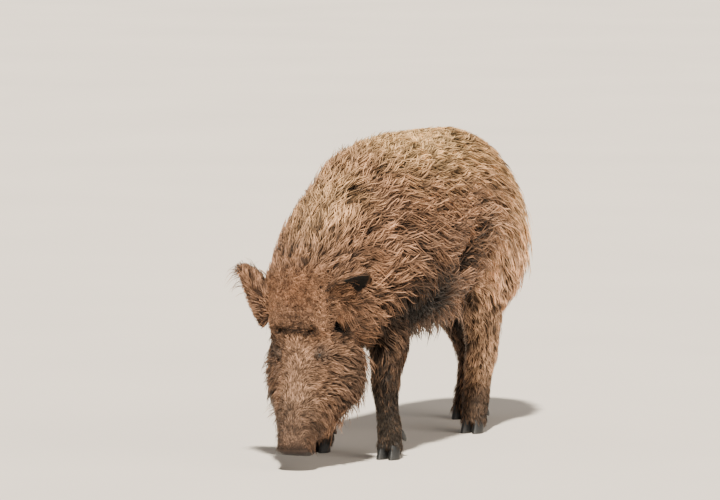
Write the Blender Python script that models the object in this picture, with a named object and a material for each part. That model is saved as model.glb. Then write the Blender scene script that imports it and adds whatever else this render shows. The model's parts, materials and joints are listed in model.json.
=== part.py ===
"""A wild boar rooting with its head down: the outline of body and coat, parted into named solids.

The boar looks along -Y, its left side is +X, and it stands on z = 0. The body is modelled whole, as
lofts and muscle masses melted together, and is then parted into head, jaw, snout, neck, trunk, tail
and legs. Ears, eyes, claws and dewclaws are pieces of their own, each in a seat cut for it.
"""

import math

import bmesh
import bpy
from mathutils import Matrix, Vector

# Driving sizes, in metres and degrees.
VOXEL = 0.0062  # grid on which the body's masses are melted together
SMOOTH_FACTOR = 0.6  # how strongly, and how often, the melted body is smoothed
SMOOTH_ROUNDS = 8
BODY_FACES = 4000  # triangles left in the whole body before it is parted
GAP = 0.0004  # left between two solids that meet
RING = 40  # points round a loft
STEPS = 5  # sections worked out between two stations
SIDES = (("left", 1), ("right", -1))

# Trunk, neck and head, from the tail root to the snout. Each station is a section of the body:
# the point on its upper line (y, z), the point on its lower line (y, z), its half width, and how much
# narrower it is above than below.
BODY_STATIONS = (
    ((0.957, 0.640), (0.952, 0.560), 0.045, 0.00),  # tail root
    ((0.944, 0.705), (0.934, 0.470), 0.115, 0.05),  # buttocks
    ((0.872, 0.769), (0.865, 0.402), 0.164, 0.12),  # croup
    ((0.745, 0.807), (0.735, 0.368), 0.187, 0.18),  # hips
    ((0.600, 0.819), (0.580, 0.345), 0.190, 0.22),  # loin
    ((0.440, 0.820), (0.415, 0.315), 0.194, 0.24),  # flank
    ((0.290, 0.818), (0.250, 0.303), 0.196, 0.26),  # ribs
    ((0.150, 0.810), (0.110, 0.294), 0.191, 0.30),  # girth
    ((0.030, 0.789), (0.015, 0.284), 0.178, 0.34),  # withers
    ((-0.078, 0.746), (-0.045, 0.279), 0.161, 0.34),  # shoulder
    ((-0.166, 0.693), (-0.092, 0.286), 0.152, 0.22),  # neck base
    ((-0.240, 0.635), (-0.119, 0.295), 0.146, 0.13),  # neck
    ((-0.300, 0.574), (-0.134, 0.296), 0.135, 0.06),  # nape
    ((-0.342, 0.508), (-0.143, 0.289), 0.119, 0.01),  # poll
    ((-0.366, 0.444), (-0.148, 0.277), 0.110, 0.00),  # forehead
    ((-0.372, 0.384), (-0.150, 0.260), 0.106, 0.12),  # brow
    ((-0.357, 0.336), (-0.152, 0.238), 0.111, 0.30),  # under the brow
    ((-0.352, 0.286), (-0.160, 0.206), 0.120, 0.43),  # cheeks and their ruff
    ((-0.359, 0.225), (-0.184, 0.158), 0.112, 0.48),  # jaw
    ((-0.370, 0.165), (-0.222, 0.112), 0.082, 0.34),  # muzzle
    ((-0.382, 0.115), (-0.262, 0.080), 0.060, 0.12),  # nose
    ((-0.392, 0.084), (-0.290, 0.063), 0.050, 0.00),  # behind the disc
    ((-0.401, 0.064), (-0.300, 0.049), 0.053, 0.00),  # rim of the disc
    ((-0.398, 0.049), (-0.304, 0.036), 0.047, 0.00),  # face of the disc
)

# Muscle masses of the left side: centre, radii, the turn about X in degrees, and the legs that a mass
# leans with.
MASSES = (
    ((0.088, 0.045, 0.545), (0.082, 0.125, 0.150), -14, "front"),  # shoulder blade
    ((0.108, -0.018, 0.430), (0.070, 0.092, 0.110), 0, "front"),  # point of the shoulder
    ((0.110, 0.730, 0.505), (0.092, 0.172, 0.205), 12, "hind"),  # ham
    ((0.114, 0.650, 0.410), (0.062, 0.092, 0.122), -26, "hind"),  # stifle
    ((0.070, -0.205, 0.252), (0.062, 0.070, 0.105), 14, None),  # ruff under the cheek
    ((0.046, -0.330, 0.376), (0.038, 0.032, 0.034), 0, None),  # brow
)

# Legs, from inside the trunk to the coronet: centre (x, y, z) and half sizes across and along the body.
FRONT_LEG = (
    ((0.090, 0.050, 0.520), 0.070, 0.105),
    ((0.104, 0.045, 0.420), 0.070, 0.096),  # upper arm
    ((0.112, 0.028, 0.350), 0.063, 0.084),  # elbow
    ((0.113, 0.012, 0.285), 0.052, 0.065),  # forearm
    ((0.110, 0.002, 0.230), 0.041, 0.049),
    ((0.108, -0.002, 0.186), 0.036, 0.041),  # knee
    ((0.111, 0.002, 0.130), 0.030, 0.032),  # cannon
    ((0.117, 0.004, 0.086), 0.032, 0.035),  # fetlock
    ((0.122, -0.006, 0.055), 0.034, 0.034),  # pastern
    ((0.126, -0.018, 0.020), 0.035, 0.038),  # coronet
)
HIND_LEG = (
    ((0.090, 0.730, 0.560), 0.080, 0.135),
    ((0.106, 0.700, 0.460), 0.078, 0.130),  # thigh
    ((0.114, 0.680, 0.370), 0.064, 0.104),  # stifle
    ((0.112, 0.690, 0.300), 0.052, 0.080),  # gaskin
    ((0.108, 0.704, 0.250), 0.046, 0.066),
    ((0.106, 0.708, 0.205), 0.042, 0.057),  # hock
    ((0.104, 0.690, 0.145), 0.036, 0.043),  # cannon
    ((0.105, 0.674, 0.095), 0.036, 0.042),  # fetlock
    ((0.107, 0.657, 0.058), 0.036, 0.039),  # pastern
    ((0.108, 0.643, 0.020), 0.035, 0.038),  # coronet
)
# Where each foot stands from the leg as listed (x, y), which the leg reaches by leaning from its top.
# The boar walks as it roots: its right fore foot and its right hind foot are set back.
FOOT_SHIFT = {
    "front_left": (0.000, 0.000),
    "front_right": (0.022, 0.085),
    "hind_left": (0.000, -0.010),
    "hind_right": (0.070, 0.300),
}
LEG_TOP = 0.560  # height at which a leg starts to lean
LEAN_QUICK = 1.3  # the lean is complete at 1/1.3 of the leg's length, below the hock or the knee
TAIL = (
    ((0.000, 0.925, 0.655), 0.026),
    ((0.000, 0.964, 0.628), 0.022),
    ((0.000, 0.982, 0.580), 0.016),
    ((0.000, 0.988, 0.520), 0.013),
    ((0.000, 0.991, 0.455), 0.014),
    ((0.000, 0.993, 0.395), 0.018),  # tuft
    ((0.000, 0.995, 0.345), 0.010),
)

# Where the body is parted: the box that holds the part (low corner, high corner), and the plane that
# parts it from the rest (a point, and the direction into the part). The tail is taken first, then the
# legs, then the parts of the middle in this order, and what is left over is the trunk. A leg's box
# starts at the plane between the two legs, its low corner's x, and reaches out to its side; the
# parting plane is mirrored for the right side.
TAIL_PART = ((-0.05, 0.90, 0.335), (0.05, 1.10, 0.80), (0, 0.961, 0.600), (0, 1.00, 0.00))
MIDDLE_PARTS = {
    "snout": ((-0.10, -0.50, 0.00), (0.10, -0.20, 0.20), (0, -0.345, 0.072), (0, -0.15, -1.00)),
    "jaw": ((-0.22, -0.45, 0.02), (0.22, -0.05, 0.40), (0, -0.235, 0.200), (0, 0.869, -0.495)),
    "head": ((-0.30, -0.60, 0.02), (0.30, 0.10, 0.80), (0, -0.210, 0.480), (0, -0.83, -0.555)),
    "neck": ((-0.30, -0.60, 0.20), (0.30, 0.10, 0.90), (0, -0.070, 0.560), (0, -1.00, -0.160)),
}
LEG_PARTS = {
    "front": ((0.0, -0.10, -0.10), (0.30, 0.22, 0.60), (0.105, 0.060, 0.372), (0.74, -0.10, -0.66)),
    "hind": ((0.02, 0.50, -0.10), (0.30, 1.10, 0.70), (0.100, 0.720, 0.432), (0.603, 0.264, -0.753)),
}

EYE_RADIUS = 0.0120
EYE_PLACE = Vector((0.0500, -0.3180, 0.2970))  # left eye, the right one is its mirror

# Ears, each turned its own way: the ear's axis, and the way its hollow opens.
EAR_BASE = Vector((0.088, -0.292, 0.440))
EAR_TURN = {
    "left": (Vector((0.85, 0.20, 0.42)), Vector((0.42, -0.42, -0.80))),
    "right": (Vector((-0.85, 0.04, 0.48)), Vector((-0.30, 0.60, -0.70))),
}
EAR_LENGTH = 0.122
EAR_HALF_WIDTH = 0.050
EAR_CUP = 0.030  # depth of the hollow
EAR_THICKNESS = 0.012
EAR_SUNK = 0.024  # how far the ear starts inside the head
EAR_ROWS = 8
EAR_COLUMNS = 7

FOOT_SLOPE = 14  # degrees by which the top of the claws rises to the front
CORONET_HEIGHT = 0.034
CLAW_LENGTH = 0.062
CLAW_WIDTH = 0.0300
CLAW_SPLIT = 0.0030  # between the two claws of a foot
CLAW_OUTLINE = 14
CLAW_LEVELS = 4
DEWCLAW_LENGTH = 0.030
DEWCLAW_RADIUS = 0.0095
DEWCLAW_OUTLINE = 8


def clear_scene():
    for obj in list(bpy.data.objects):
        bpy.data.objects.remove(obj, do_unlink=True)


def finish(name, colour, roughness):
    """A plain material for one kind of surface."""
    material = bpy.data.materials.get(name) or bpy.data.materials.new(name)
    material.use_nodes = True
    shader = material.node_tree.nodes["Principled BSDF"]
    shader.inputs["Base Color"].default_value = (*colour, 1.0)
    shader.inputs["Roughness"].default_value = roughness
    return material


def new_object(name, mesh):
    obj = bpy.data.objects.new(name, mesh)
    bpy.context.scene.collection.objects.link(obj)
    return obj


def mesh_from(name, bm):
    mesh = bpy.data.meshes.new(name)
    bm.to_mesh(mesh)
    bm.free()
    return mesh


def smooth_row(values, t):
    """A point on the smooth curve through values, at station number t."""
    last = len(values) - 1
    i = min(int(t), last - 1)
    u = t - i
    before, here, there, after = (values[max(0, min(last, i + k))] for k in (-1, 0, 1, 2))
    rise_here = (there - before) * 0.5
    rise_there = (after - here) * 0.5
    return (
        here * (2 * u**3 - 3 * u**2 + 1)
        + rise_here * (u**3 - 2 * u**2 + u)
        + there * (3 * u**2 - 2 * u**3)
        + rise_there * (u**3 - u**2)
    )


def loft(bm, rings):
    """Closes a row of rings, each with the same number of points, into a solid tube."""
    rows = [[bm.verts.new(p) for p in ring] for ring in rings]
    count = len(rows[0])
    for a, b in zip(rows, rows[1:]):
        for i in range(count):
            j = (i + 1) % count
            bm.faces.new((a[i], a[j], b[j], b[i]))
    bm.faces.new(reversed(rows[0]))
    bm.faces.new(rows[-1])


def stations_between(count):
    return [i / STEPS for i in range((count - 1) * STEPS + 1)]


def body_rings():
    """The trunk, neck and head's sections, each an egg standing between its upper and lower point."""
    top = [Vector((0, *s[0])) for s in BODY_STATIONS]
    bottom = [Vector((0, *s[1])) for s in BODY_STATIONS]
    for t in stations_between(len(BODY_STATIONS)):
        high = smooth_row(top, t)
        low = smooth_row(bottom, t)
        half_width = smooth_row([s[2] for s in BODY_STATIONS], t)
        narrow = smooth_row([s[3] for s in BODY_STATIONS], t)
        centre = (high + low) / 2
        rise = (high - low) / 2
        ring = []
        for i in range(RING):
            angle = 2 * math.pi * i / RING
            across = half_width * math.cos(angle) * (1 - narrow * math.sin(angle))
            ring.append(centre + rise * math.sin(angle) + Vector((across, 0, 0)))
        yield ring


def leaning(point, shift):
    """A point of a leg, moved by its share of the foot's shift, which grows from the top downwards."""
    share = min(1.0, max(0.0, LEAN_QUICK * (1 - point.z / LEG_TOP)))
    share = share * share * (3 - 2 * share)
    return point + Vector((*shift, 0)) * share


def leg_rings(leg, shift, side):
    """A leg's level sections."""
    for t in stations_between(len(leg)):
        centre = leaning(mirrored(smooth_row([Vector(s[0]) for s in leg], t), side), shift)
        half_x = smooth_row([s[1] for s in leg], t)
        half_y = smooth_row([s[2] for s in leg], t)
        yield [
            centre + Vector((half_x * math.cos(a), half_y * math.sin(a), 0))
            for a in (2 * math.pi * i / RING for i in range(RING))
        ]


def tail_rings():
    centres = [Vector(s[0]) for s in TAIL]
    for t in stations_between(len(TAIL)):
        centre = smooth_row(centres, t)
        ahead = smooth_row(centres, min(t + 0.05, len(TAIL) - 1))
        behind = smooth_row(centres, max(t - 0.05, 0))
        turn = (ahead - behind).to_track_quat("Z", "X")
        radius = smooth_row([s[1] for s in TAIL], t)
        yield [
            centre + turn @ Vector((radius * math.cos(a), radius * math.sin(a), 0))
            for a in (2 * math.pi * i / RING for i in range(RING))
        ]


def mass(bm, centre, radii, turn):
    """One muscle, as an ellipsoid under the skin."""
    place = (
        Matrix.Translation(centre)
        @ Matrix.Rotation(math.radians(turn), 4, "X")
        @ Matrix.Diagonal((*radii, 1.0))
    )
    bmesh.ops.create_icosphere(bm, subdivisions=4, radius=1.0, matrix=place)


def mirrored(vector, side):
    return Vector((side * vector.x, vector.y, vector.z))


def ear(hand, grow=0.0):
    """A cupped leaf with a blunt tip, thick enough for the fur on both faces, rooted in the head."""
    bm = bmesh.new()
    axis = EAR_TURN[hand][0].normalized()
    opening = EAR_TURN[hand][1]
    opening = (opening - axis * opening.dot(axis)).normalized()
    across = axis.cross(opening)
    side = dict(SIDES)[hand]
    base = mirrored(EAR_BASE, side) - axis * (EAR_SUNK + grow)
    length = EAR_LENGTH + EAR_SUNK + 2 * grow
    layers = []
    for layer in (0.5, -0.5):
        grid = []
        for i in range(EAR_ROWS + 1):
            t = i / EAR_ROWS
            leaf = math.sqrt(math.sin(math.pi * (0.20 + 0.79 * t)))
            half = EAR_HALF_WIDTH * leaf
            cup = EAR_CUP * (1 - 0.55 * t)
            thick = EAR_THICKNESS * (1 - 0.35 * t) + 2 * grow
            droop = 0.014 * t**3
            line = []
            for j in range(EAR_COLUMNS + 1):
                aside = (half + grow) * (2 * j / EAR_COLUMNS - 1)
                deep = cup * (1 - (aside / half) ** 2) - thick * layer - droop
                line.append(base + axis * (length * t) + across * aside - opening * deep)
            grid.append([bm.verts.new(p) for p in line])
        layers.append(grid)
    front, back = layers
    for i in range(EAR_ROWS):
        for j in range(EAR_COLUMNS):
            bm.faces.new((front[i][j], front[i][j + 1], front[i + 1][j + 1], front[i + 1][j]))
            bm.faces.new((back[i][j], back[i + 1][j], back[i + 1][j + 1], back[i][j + 1]))
    rim = (
        [(0, j) for j in range(EAR_COLUMNS)]
        + [(i, EAR_COLUMNS) for i in range(EAR_ROWS)]
        + [(EAR_ROWS, j) for j in range(EAR_COLUMNS, 0, -1)]
        + [(i, 0) for i in range(EAR_ROWS, 0, -1)]
    )
    for (i, j), (k, m) in zip(rim, rim[1:] + rim[:1]):
        bm.faces.new((front[i][j], back[i][j], back[k][m], front[k][m]))
    bmesh.ops.triangulate(bm, faces=bm.faces, quad_method="FIXED")  # the seat's facets fit the ear's
    bmesh.ops.recalc_face_normals(bm, faces=bm.faces)
    return bm


def evaluated_mesh(obj):
    graph = bpy.context.evaluated_depsgraph_get()
    return bpy.data.meshes.new_from_object(obj.evaluated_get(graph))


def legs():
    """(name, stations, side) of each leg."""
    for end, stations in (("front", FRONT_LEG), ("hind", HIND_LEG)):
        for hand, side in SIDES:
            yield f"{end}_{hand}", stations, side


def whole_body():
    """All the masses of flesh and coat, melted into one skin and thinned to a light mesh."""
    bm = bmesh.new()
    loft(bm, list(body_rings()))
    loft(bm, list(tail_rings()))
    for name, stations, side in legs():
        loft(bm, list(leg_rings(stations, FOOT_SHIFT[name], side)))
    for hand, side in SIDES:
        for centre, radii, turn, end in MASSES:
            shift = FOOT_SHIFT.get(f"{end}_{hand}", (0, 0))
            mass(bm, leaning(mirrored(Vector(centre), side), shift), radii, turn)
    bmesh.ops.recalc_face_normals(bm, faces=bm.faces)
    body = new_object("whole_body", mesh_from("whole_body", bm))
    remesh = body.modifiers.new("melt", "REMESH")
    remesh.mode = "VOXEL"
    remesh.voxel_size = VOXEL
    smooth = body.modifiers.new("smooth", "SMOOTH")
    smooth.factor = SMOOTH_FACTOR
    smooth.iterations = SMOOTH_ROUNDS
    melted = evaluated_mesh(body)
    melted.calc_loop_triangles()
    thin = body.modifiers.new("thin", "DECIMATE")
    thin.ratio = BODY_FACES / len(melted.loop_triangles)
    light = evaluated_mesh(body)
    bpy.data.objects.remove(body)
    return new_object("whole_body", light)


def region(low, high, point, inward, grow=0.0):
    """A box, cut off by a plane, that holds one part of the body."""
    bm = bmesh.new()
    low = Vector(low) - Vector((grow, grow, grow))
    high = Vector(high) + Vector((grow, grow, grow))
    place = Matrix.Translation((low + high) / 2) @ Matrix.Diagonal((*(high - low), 1.0))
    bmesh.ops.create_cube(bm, size=1.0, matrix=place)
    inward = Vector(inward).normalized()
    geometry = bm.verts[:] + bm.edges[:] + bm.faces[:]
    spot = Vector(point) - inward * grow
    bmesh.ops.bisect_plane(bm, geom=geometry, plane_co=spot, plane_no=-inward, clear_outer=True)
    bmesh.ops.holes_fill(bm, edges=bm.edges)
    bmesh.ops.recalc_face_normals(bm, faces=bm.faces)
    return bm


def combined(obj, bm, operation):
    """The mesh that is left of an object after a Boolean with a tool."""
    tool = new_object("tool", mesh_from("tool", bm))
    tool.hide_render = True
    tool.display_type = "WIRE"
    boolean = obj.modifiers.new("boolean", "BOOLEAN")
    boolean.object = tool
    boolean.operation = operation
    made = evaluated_mesh(obj)
    obj.modifiers.remove(boolean)
    bpy.data.objects.remove(tool)
    return made


def cut(body, bm):
    body.data = combined(body, bm, "DIFFERENCE")


def foot_place(name, stations, side):
    """Where a foot's coronet ends, at the ground."""
    last = Vector(stations[-1][0])
    shift = FOOT_SHIFT[name]
    return Vector((side * last.x + shift[0], last.y + shift[1], 0))


def foot_top(foot):
    """The sloping plane between the leg and its claws: a point on it and its upward direction."""
    slope = math.radians(FOOT_SLOPE)
    return foot + Vector((0, -0.004, CORONET_HEIGHT)), Vector((0, math.sin(slope), math.cos(slope)))


def claw(foot, hand):
    """One claw of a foot, its sole flat on the ground: a rounded wedge, cut off under the coronet."""
    bm = bmesh.new()
    inner = hand * CLAW_SPLIT / 2
    rings = []
    for level in range(CLAW_LEVELS):
        h = level / (CLAW_LEVELS - 1)
        toe = -CLAW_LENGTH * (0.60 - 0.34 * h)
        heel = CLAW_LENGTH * (0.40 + 0.06 * h)
        width = CLAW_WIDTH * (1.0 - 0.10 * h)
        ring = []
        for i in range(CLAW_OUTLINE):
            angle = 2 * math.pi * i / CLAW_OUTLINE
            share = 0.5 - 0.5 * math.cos(angle)  # from the toe, 0, to the heel, 1
            along = heel + (toe - heel) * share
            full = 0.5 + 0.5 * math.sin(math.pi * (1 - share) ** 0.72)
            across = width * (0.5 + 0.5 * math.sin(angle) * full)
            ring.append(foot + Vector((inner + hand * across, along, CORONET_HEIGHT * 1.6 * h)))
        rings.append(ring)
    loft(bm, rings)
    point, up = foot_top(foot)
    geometry = bm.verts[:] + bm.edges[:] + bm.faces[:]
    bmesh.ops.bisect_plane(bm, geom=geometry, plane_co=point - up * GAP, plane_no=up, clear_outer=True)
    bmesh.ops.holes_fill(bm, edges=bm.edges)
    bmesh.ops.recalc_face_normals(bm, faces=bm.faces)
    return bm


def dewclaw(foot, hand, grow=0.0):
    """A small cone behind the pastern, pointing down and back, with a rounded tip."""
    bm = bmesh.new()
    root = foot + Vector((hand * 0.0175, 0.037, 0.064))
    turn = Vector((hand * 0.22, 0.62, -0.75)).to_track_quat("Z", "X")
    rings = []
    for share, thick in ((-0.28, 0.86), (0.0, 1.0), (0.45, 0.88), (0.82, 0.56), (1.0, 0.16)):
        radius = DEWCLAW_RADIUS * thick + grow
        offset = DEWCLAW_LENGTH * share + grow * (1 if share > 0 else -1)
        ring = []
        for i in range(DEWCLAW_OUTLINE):
            angle = 2 * math.pi * i / DEWCLAW_OUTLINE
            around = Vector((radius * math.cos(angle), radius * 0.8 * math.sin(angle), offset))
            ring.append(root + turn @ around)
        rings.append(ring)
    loft(bm, rings)
    bmesh.ops.recalc_face_normals(bm, faces=bm.faces)
    return bm


def eyeball(side, grow=0.0):
    bm = bmesh.new()
    place = Matrix.Translation(mirrored(EYE_PLACE, side))
    bmesh.ops.create_uvsphere(bm, u_segments=12, v_segments=8, radius=EYE_RADIUS + grow, matrix=place)
    return bm


def ground_under(foot):
    """The room that a foot's claws take, below the coronet."""
    point, up = foot_top(foot)
    low = foot + Vector((-0.06, -0.08, -0.05))
    high = foot + Vector((0.06, 0.08, 0.10))
    return region(low, high, point, -up)


def cut_seats(body):
    """Seats in the body for the eyes, the ears, the claws and the dewclaws."""
    for hand, side in SIDES:
        cut(body, eyeball(side, GAP))
        cut(body, ear(hand, GAP))
    for name, stations, side in legs():
        foot = foot_place(name, stations, side)
        cut(body, ground_under(foot))
        for hand in (1, -1):
            cut(body, dewclaw(foot, hand, GAP))


def body_regions():
    """The name and region of each part that is taken from the body, in order."""
    yield "tail", TAIL_PART
    for end, (low, high, point, inward) in LEG_PARTS.items():
        for hand, side in SIDES:
            edges = sorted((low[0], side * high[0]))
            spot = (side * point[0], point[1], point[2])
            way = (side * inward[0], inward[1], inward[2])
            yield f"leg_{end}_{hand}", ((edges[0], *low[1:]), (edges[1], *high[1:]), spot, way)
    yield from MIDDLE_PARTS.items()


def place(obj, material, parent):
    """Gives a part its finish, and its origin at its own centre."""
    centre = sum((v.co for v in obj.data.vertices), Vector()) / len(obj.data.vertices)
    obj.data.transform(Matrix.Translation(-centre))
    obj.location = centre
    obj.parent = parent
    obj.data.materials.clear()
    obj.data.materials.append(material)
    obj.data.shade_smooth()
    obj.data.set_sharp_from_angle(angle=math.radians(50))


def part_body(body, coat, parent):
    """Takes each part out of the body, and leaves the trunk."""
    for name, bounds in body_regions():
        piece = new_object(name, combined(body, region(*bounds), "INTERSECT"))
        cut(body, region(*bounds, GAP))
        place(piece, coat, parent)
    body.name = "trunk"
    place(body, coat, parent)


def centre_on_ground(parent):
    """Puts the model's origin under the middle of its box, on the ground."""
    bpy.context.view_layer.update()
    corners = [
        obj.matrix_world @ Vector(corner)
        for obj in parent.children
        for corner in obj.bound_box
    ]
    for axis in (0, 1):
        low = min(c[axis] for c in corners)
        high = max(c[axis] for c in corners)
        parent.location[axis] = -(low + high) / 2


def main():
    clear_scene()
    coat = finish("coat", (0.32, 0.21, 0.13), 0.75)
    horn = finish("horn", (0.07, 0.06, 0.055), 0.45)
    eye = finish("eye", (0.03, 0.015, 0.01), 0.08)
    boar = bpy.data.objects.new("boar", None)
    bpy.context.scene.collection.objects.link(boar)
    body = whole_body()
    cut_seats(body)
    part_body(body, coat, boar)
    for hand, side in SIDES:
        place(new_object(f"ear_{hand}", mesh_from("ear", ear(hand))), coat, boar)
        place(new_object(f"eye_{hand}", mesh_from("eye", eyeball(side))), eye, boar)
    for name, stations, side in legs():
        foot = foot_place(name, stations, side)
        for where, hand in (("outer", side), ("inner", -side)):
            piece = new_object(f"claw_{name}_{where}", mesh_from("claw", claw(foot, hand)))
            place(piece, horn, boar)
            piece = new_object(f"dewclaw_{name}_{where}", mesh_from("dewclaw", dewclaw(foot, hand)))
            place(piece, horn, boar)
    centre_on_ground(boar)


main()
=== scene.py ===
"""Wild boar: one skin over the flesh, a coat of hair locks that follow its lie, eyes and horn claws.

The pieces take their places from the fixed frame. Metres, +Z up, the boar faces -Y and its left is +X.
"""

import json
import math

import bmesh
import bpy
import numpy as np
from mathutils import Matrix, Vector
from mathutils.bvhtree import BVHTree

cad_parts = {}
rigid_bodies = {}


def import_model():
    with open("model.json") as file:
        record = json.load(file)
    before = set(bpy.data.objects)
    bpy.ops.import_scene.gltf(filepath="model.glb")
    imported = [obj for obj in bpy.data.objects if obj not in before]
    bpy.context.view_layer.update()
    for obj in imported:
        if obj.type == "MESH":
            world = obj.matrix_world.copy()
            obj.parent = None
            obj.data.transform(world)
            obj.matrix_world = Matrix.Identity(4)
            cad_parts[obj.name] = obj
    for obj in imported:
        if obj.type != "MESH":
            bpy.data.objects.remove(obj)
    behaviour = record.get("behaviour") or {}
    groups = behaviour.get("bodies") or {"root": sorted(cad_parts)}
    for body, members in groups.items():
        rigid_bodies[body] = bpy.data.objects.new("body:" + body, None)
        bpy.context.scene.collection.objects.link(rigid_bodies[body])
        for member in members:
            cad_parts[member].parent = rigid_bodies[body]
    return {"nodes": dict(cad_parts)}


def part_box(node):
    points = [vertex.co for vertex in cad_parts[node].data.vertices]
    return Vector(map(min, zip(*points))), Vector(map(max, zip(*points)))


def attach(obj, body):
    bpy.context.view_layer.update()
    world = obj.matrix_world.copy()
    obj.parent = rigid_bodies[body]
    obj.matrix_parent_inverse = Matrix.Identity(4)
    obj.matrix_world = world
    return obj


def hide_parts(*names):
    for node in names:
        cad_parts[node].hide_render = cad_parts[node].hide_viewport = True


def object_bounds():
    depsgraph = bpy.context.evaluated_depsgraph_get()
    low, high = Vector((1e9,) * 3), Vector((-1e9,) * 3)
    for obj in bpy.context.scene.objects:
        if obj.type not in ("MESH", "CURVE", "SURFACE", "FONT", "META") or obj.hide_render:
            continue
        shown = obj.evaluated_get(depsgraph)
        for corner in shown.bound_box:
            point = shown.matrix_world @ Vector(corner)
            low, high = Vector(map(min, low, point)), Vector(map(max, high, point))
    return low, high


for leftover in list(bpy.data.objects):
    bpy.data.objects.remove(leftover)
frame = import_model()
CAD_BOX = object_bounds()
NODES = frame["nodes"]

bl_info = {
    "name": "Wild boar",
    "version": (1, 0, 0),
    "blender": (4, 5, 0),
    "location": "3D View > Sidebar > Boar",
    "description": "Builds the skin, coat, eyes and claws of a wild boar over its solid frame",
    "category": "Object",
}

HANDS = {"left": 1, "right": -1}
FLESH = sorted(n for n in NODES if not n.startswith(("eye_", "claw_", "dewclaw_")))
REGIONS = ("trunk", "neck", "head", "jaw", "snout", "tail", "ear", "leg_front", "leg_hind")
PAIRED = ("leg_front", "leg_hind", "ear")
UP = np.array((0.0, 0.0, 1.0))

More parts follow.
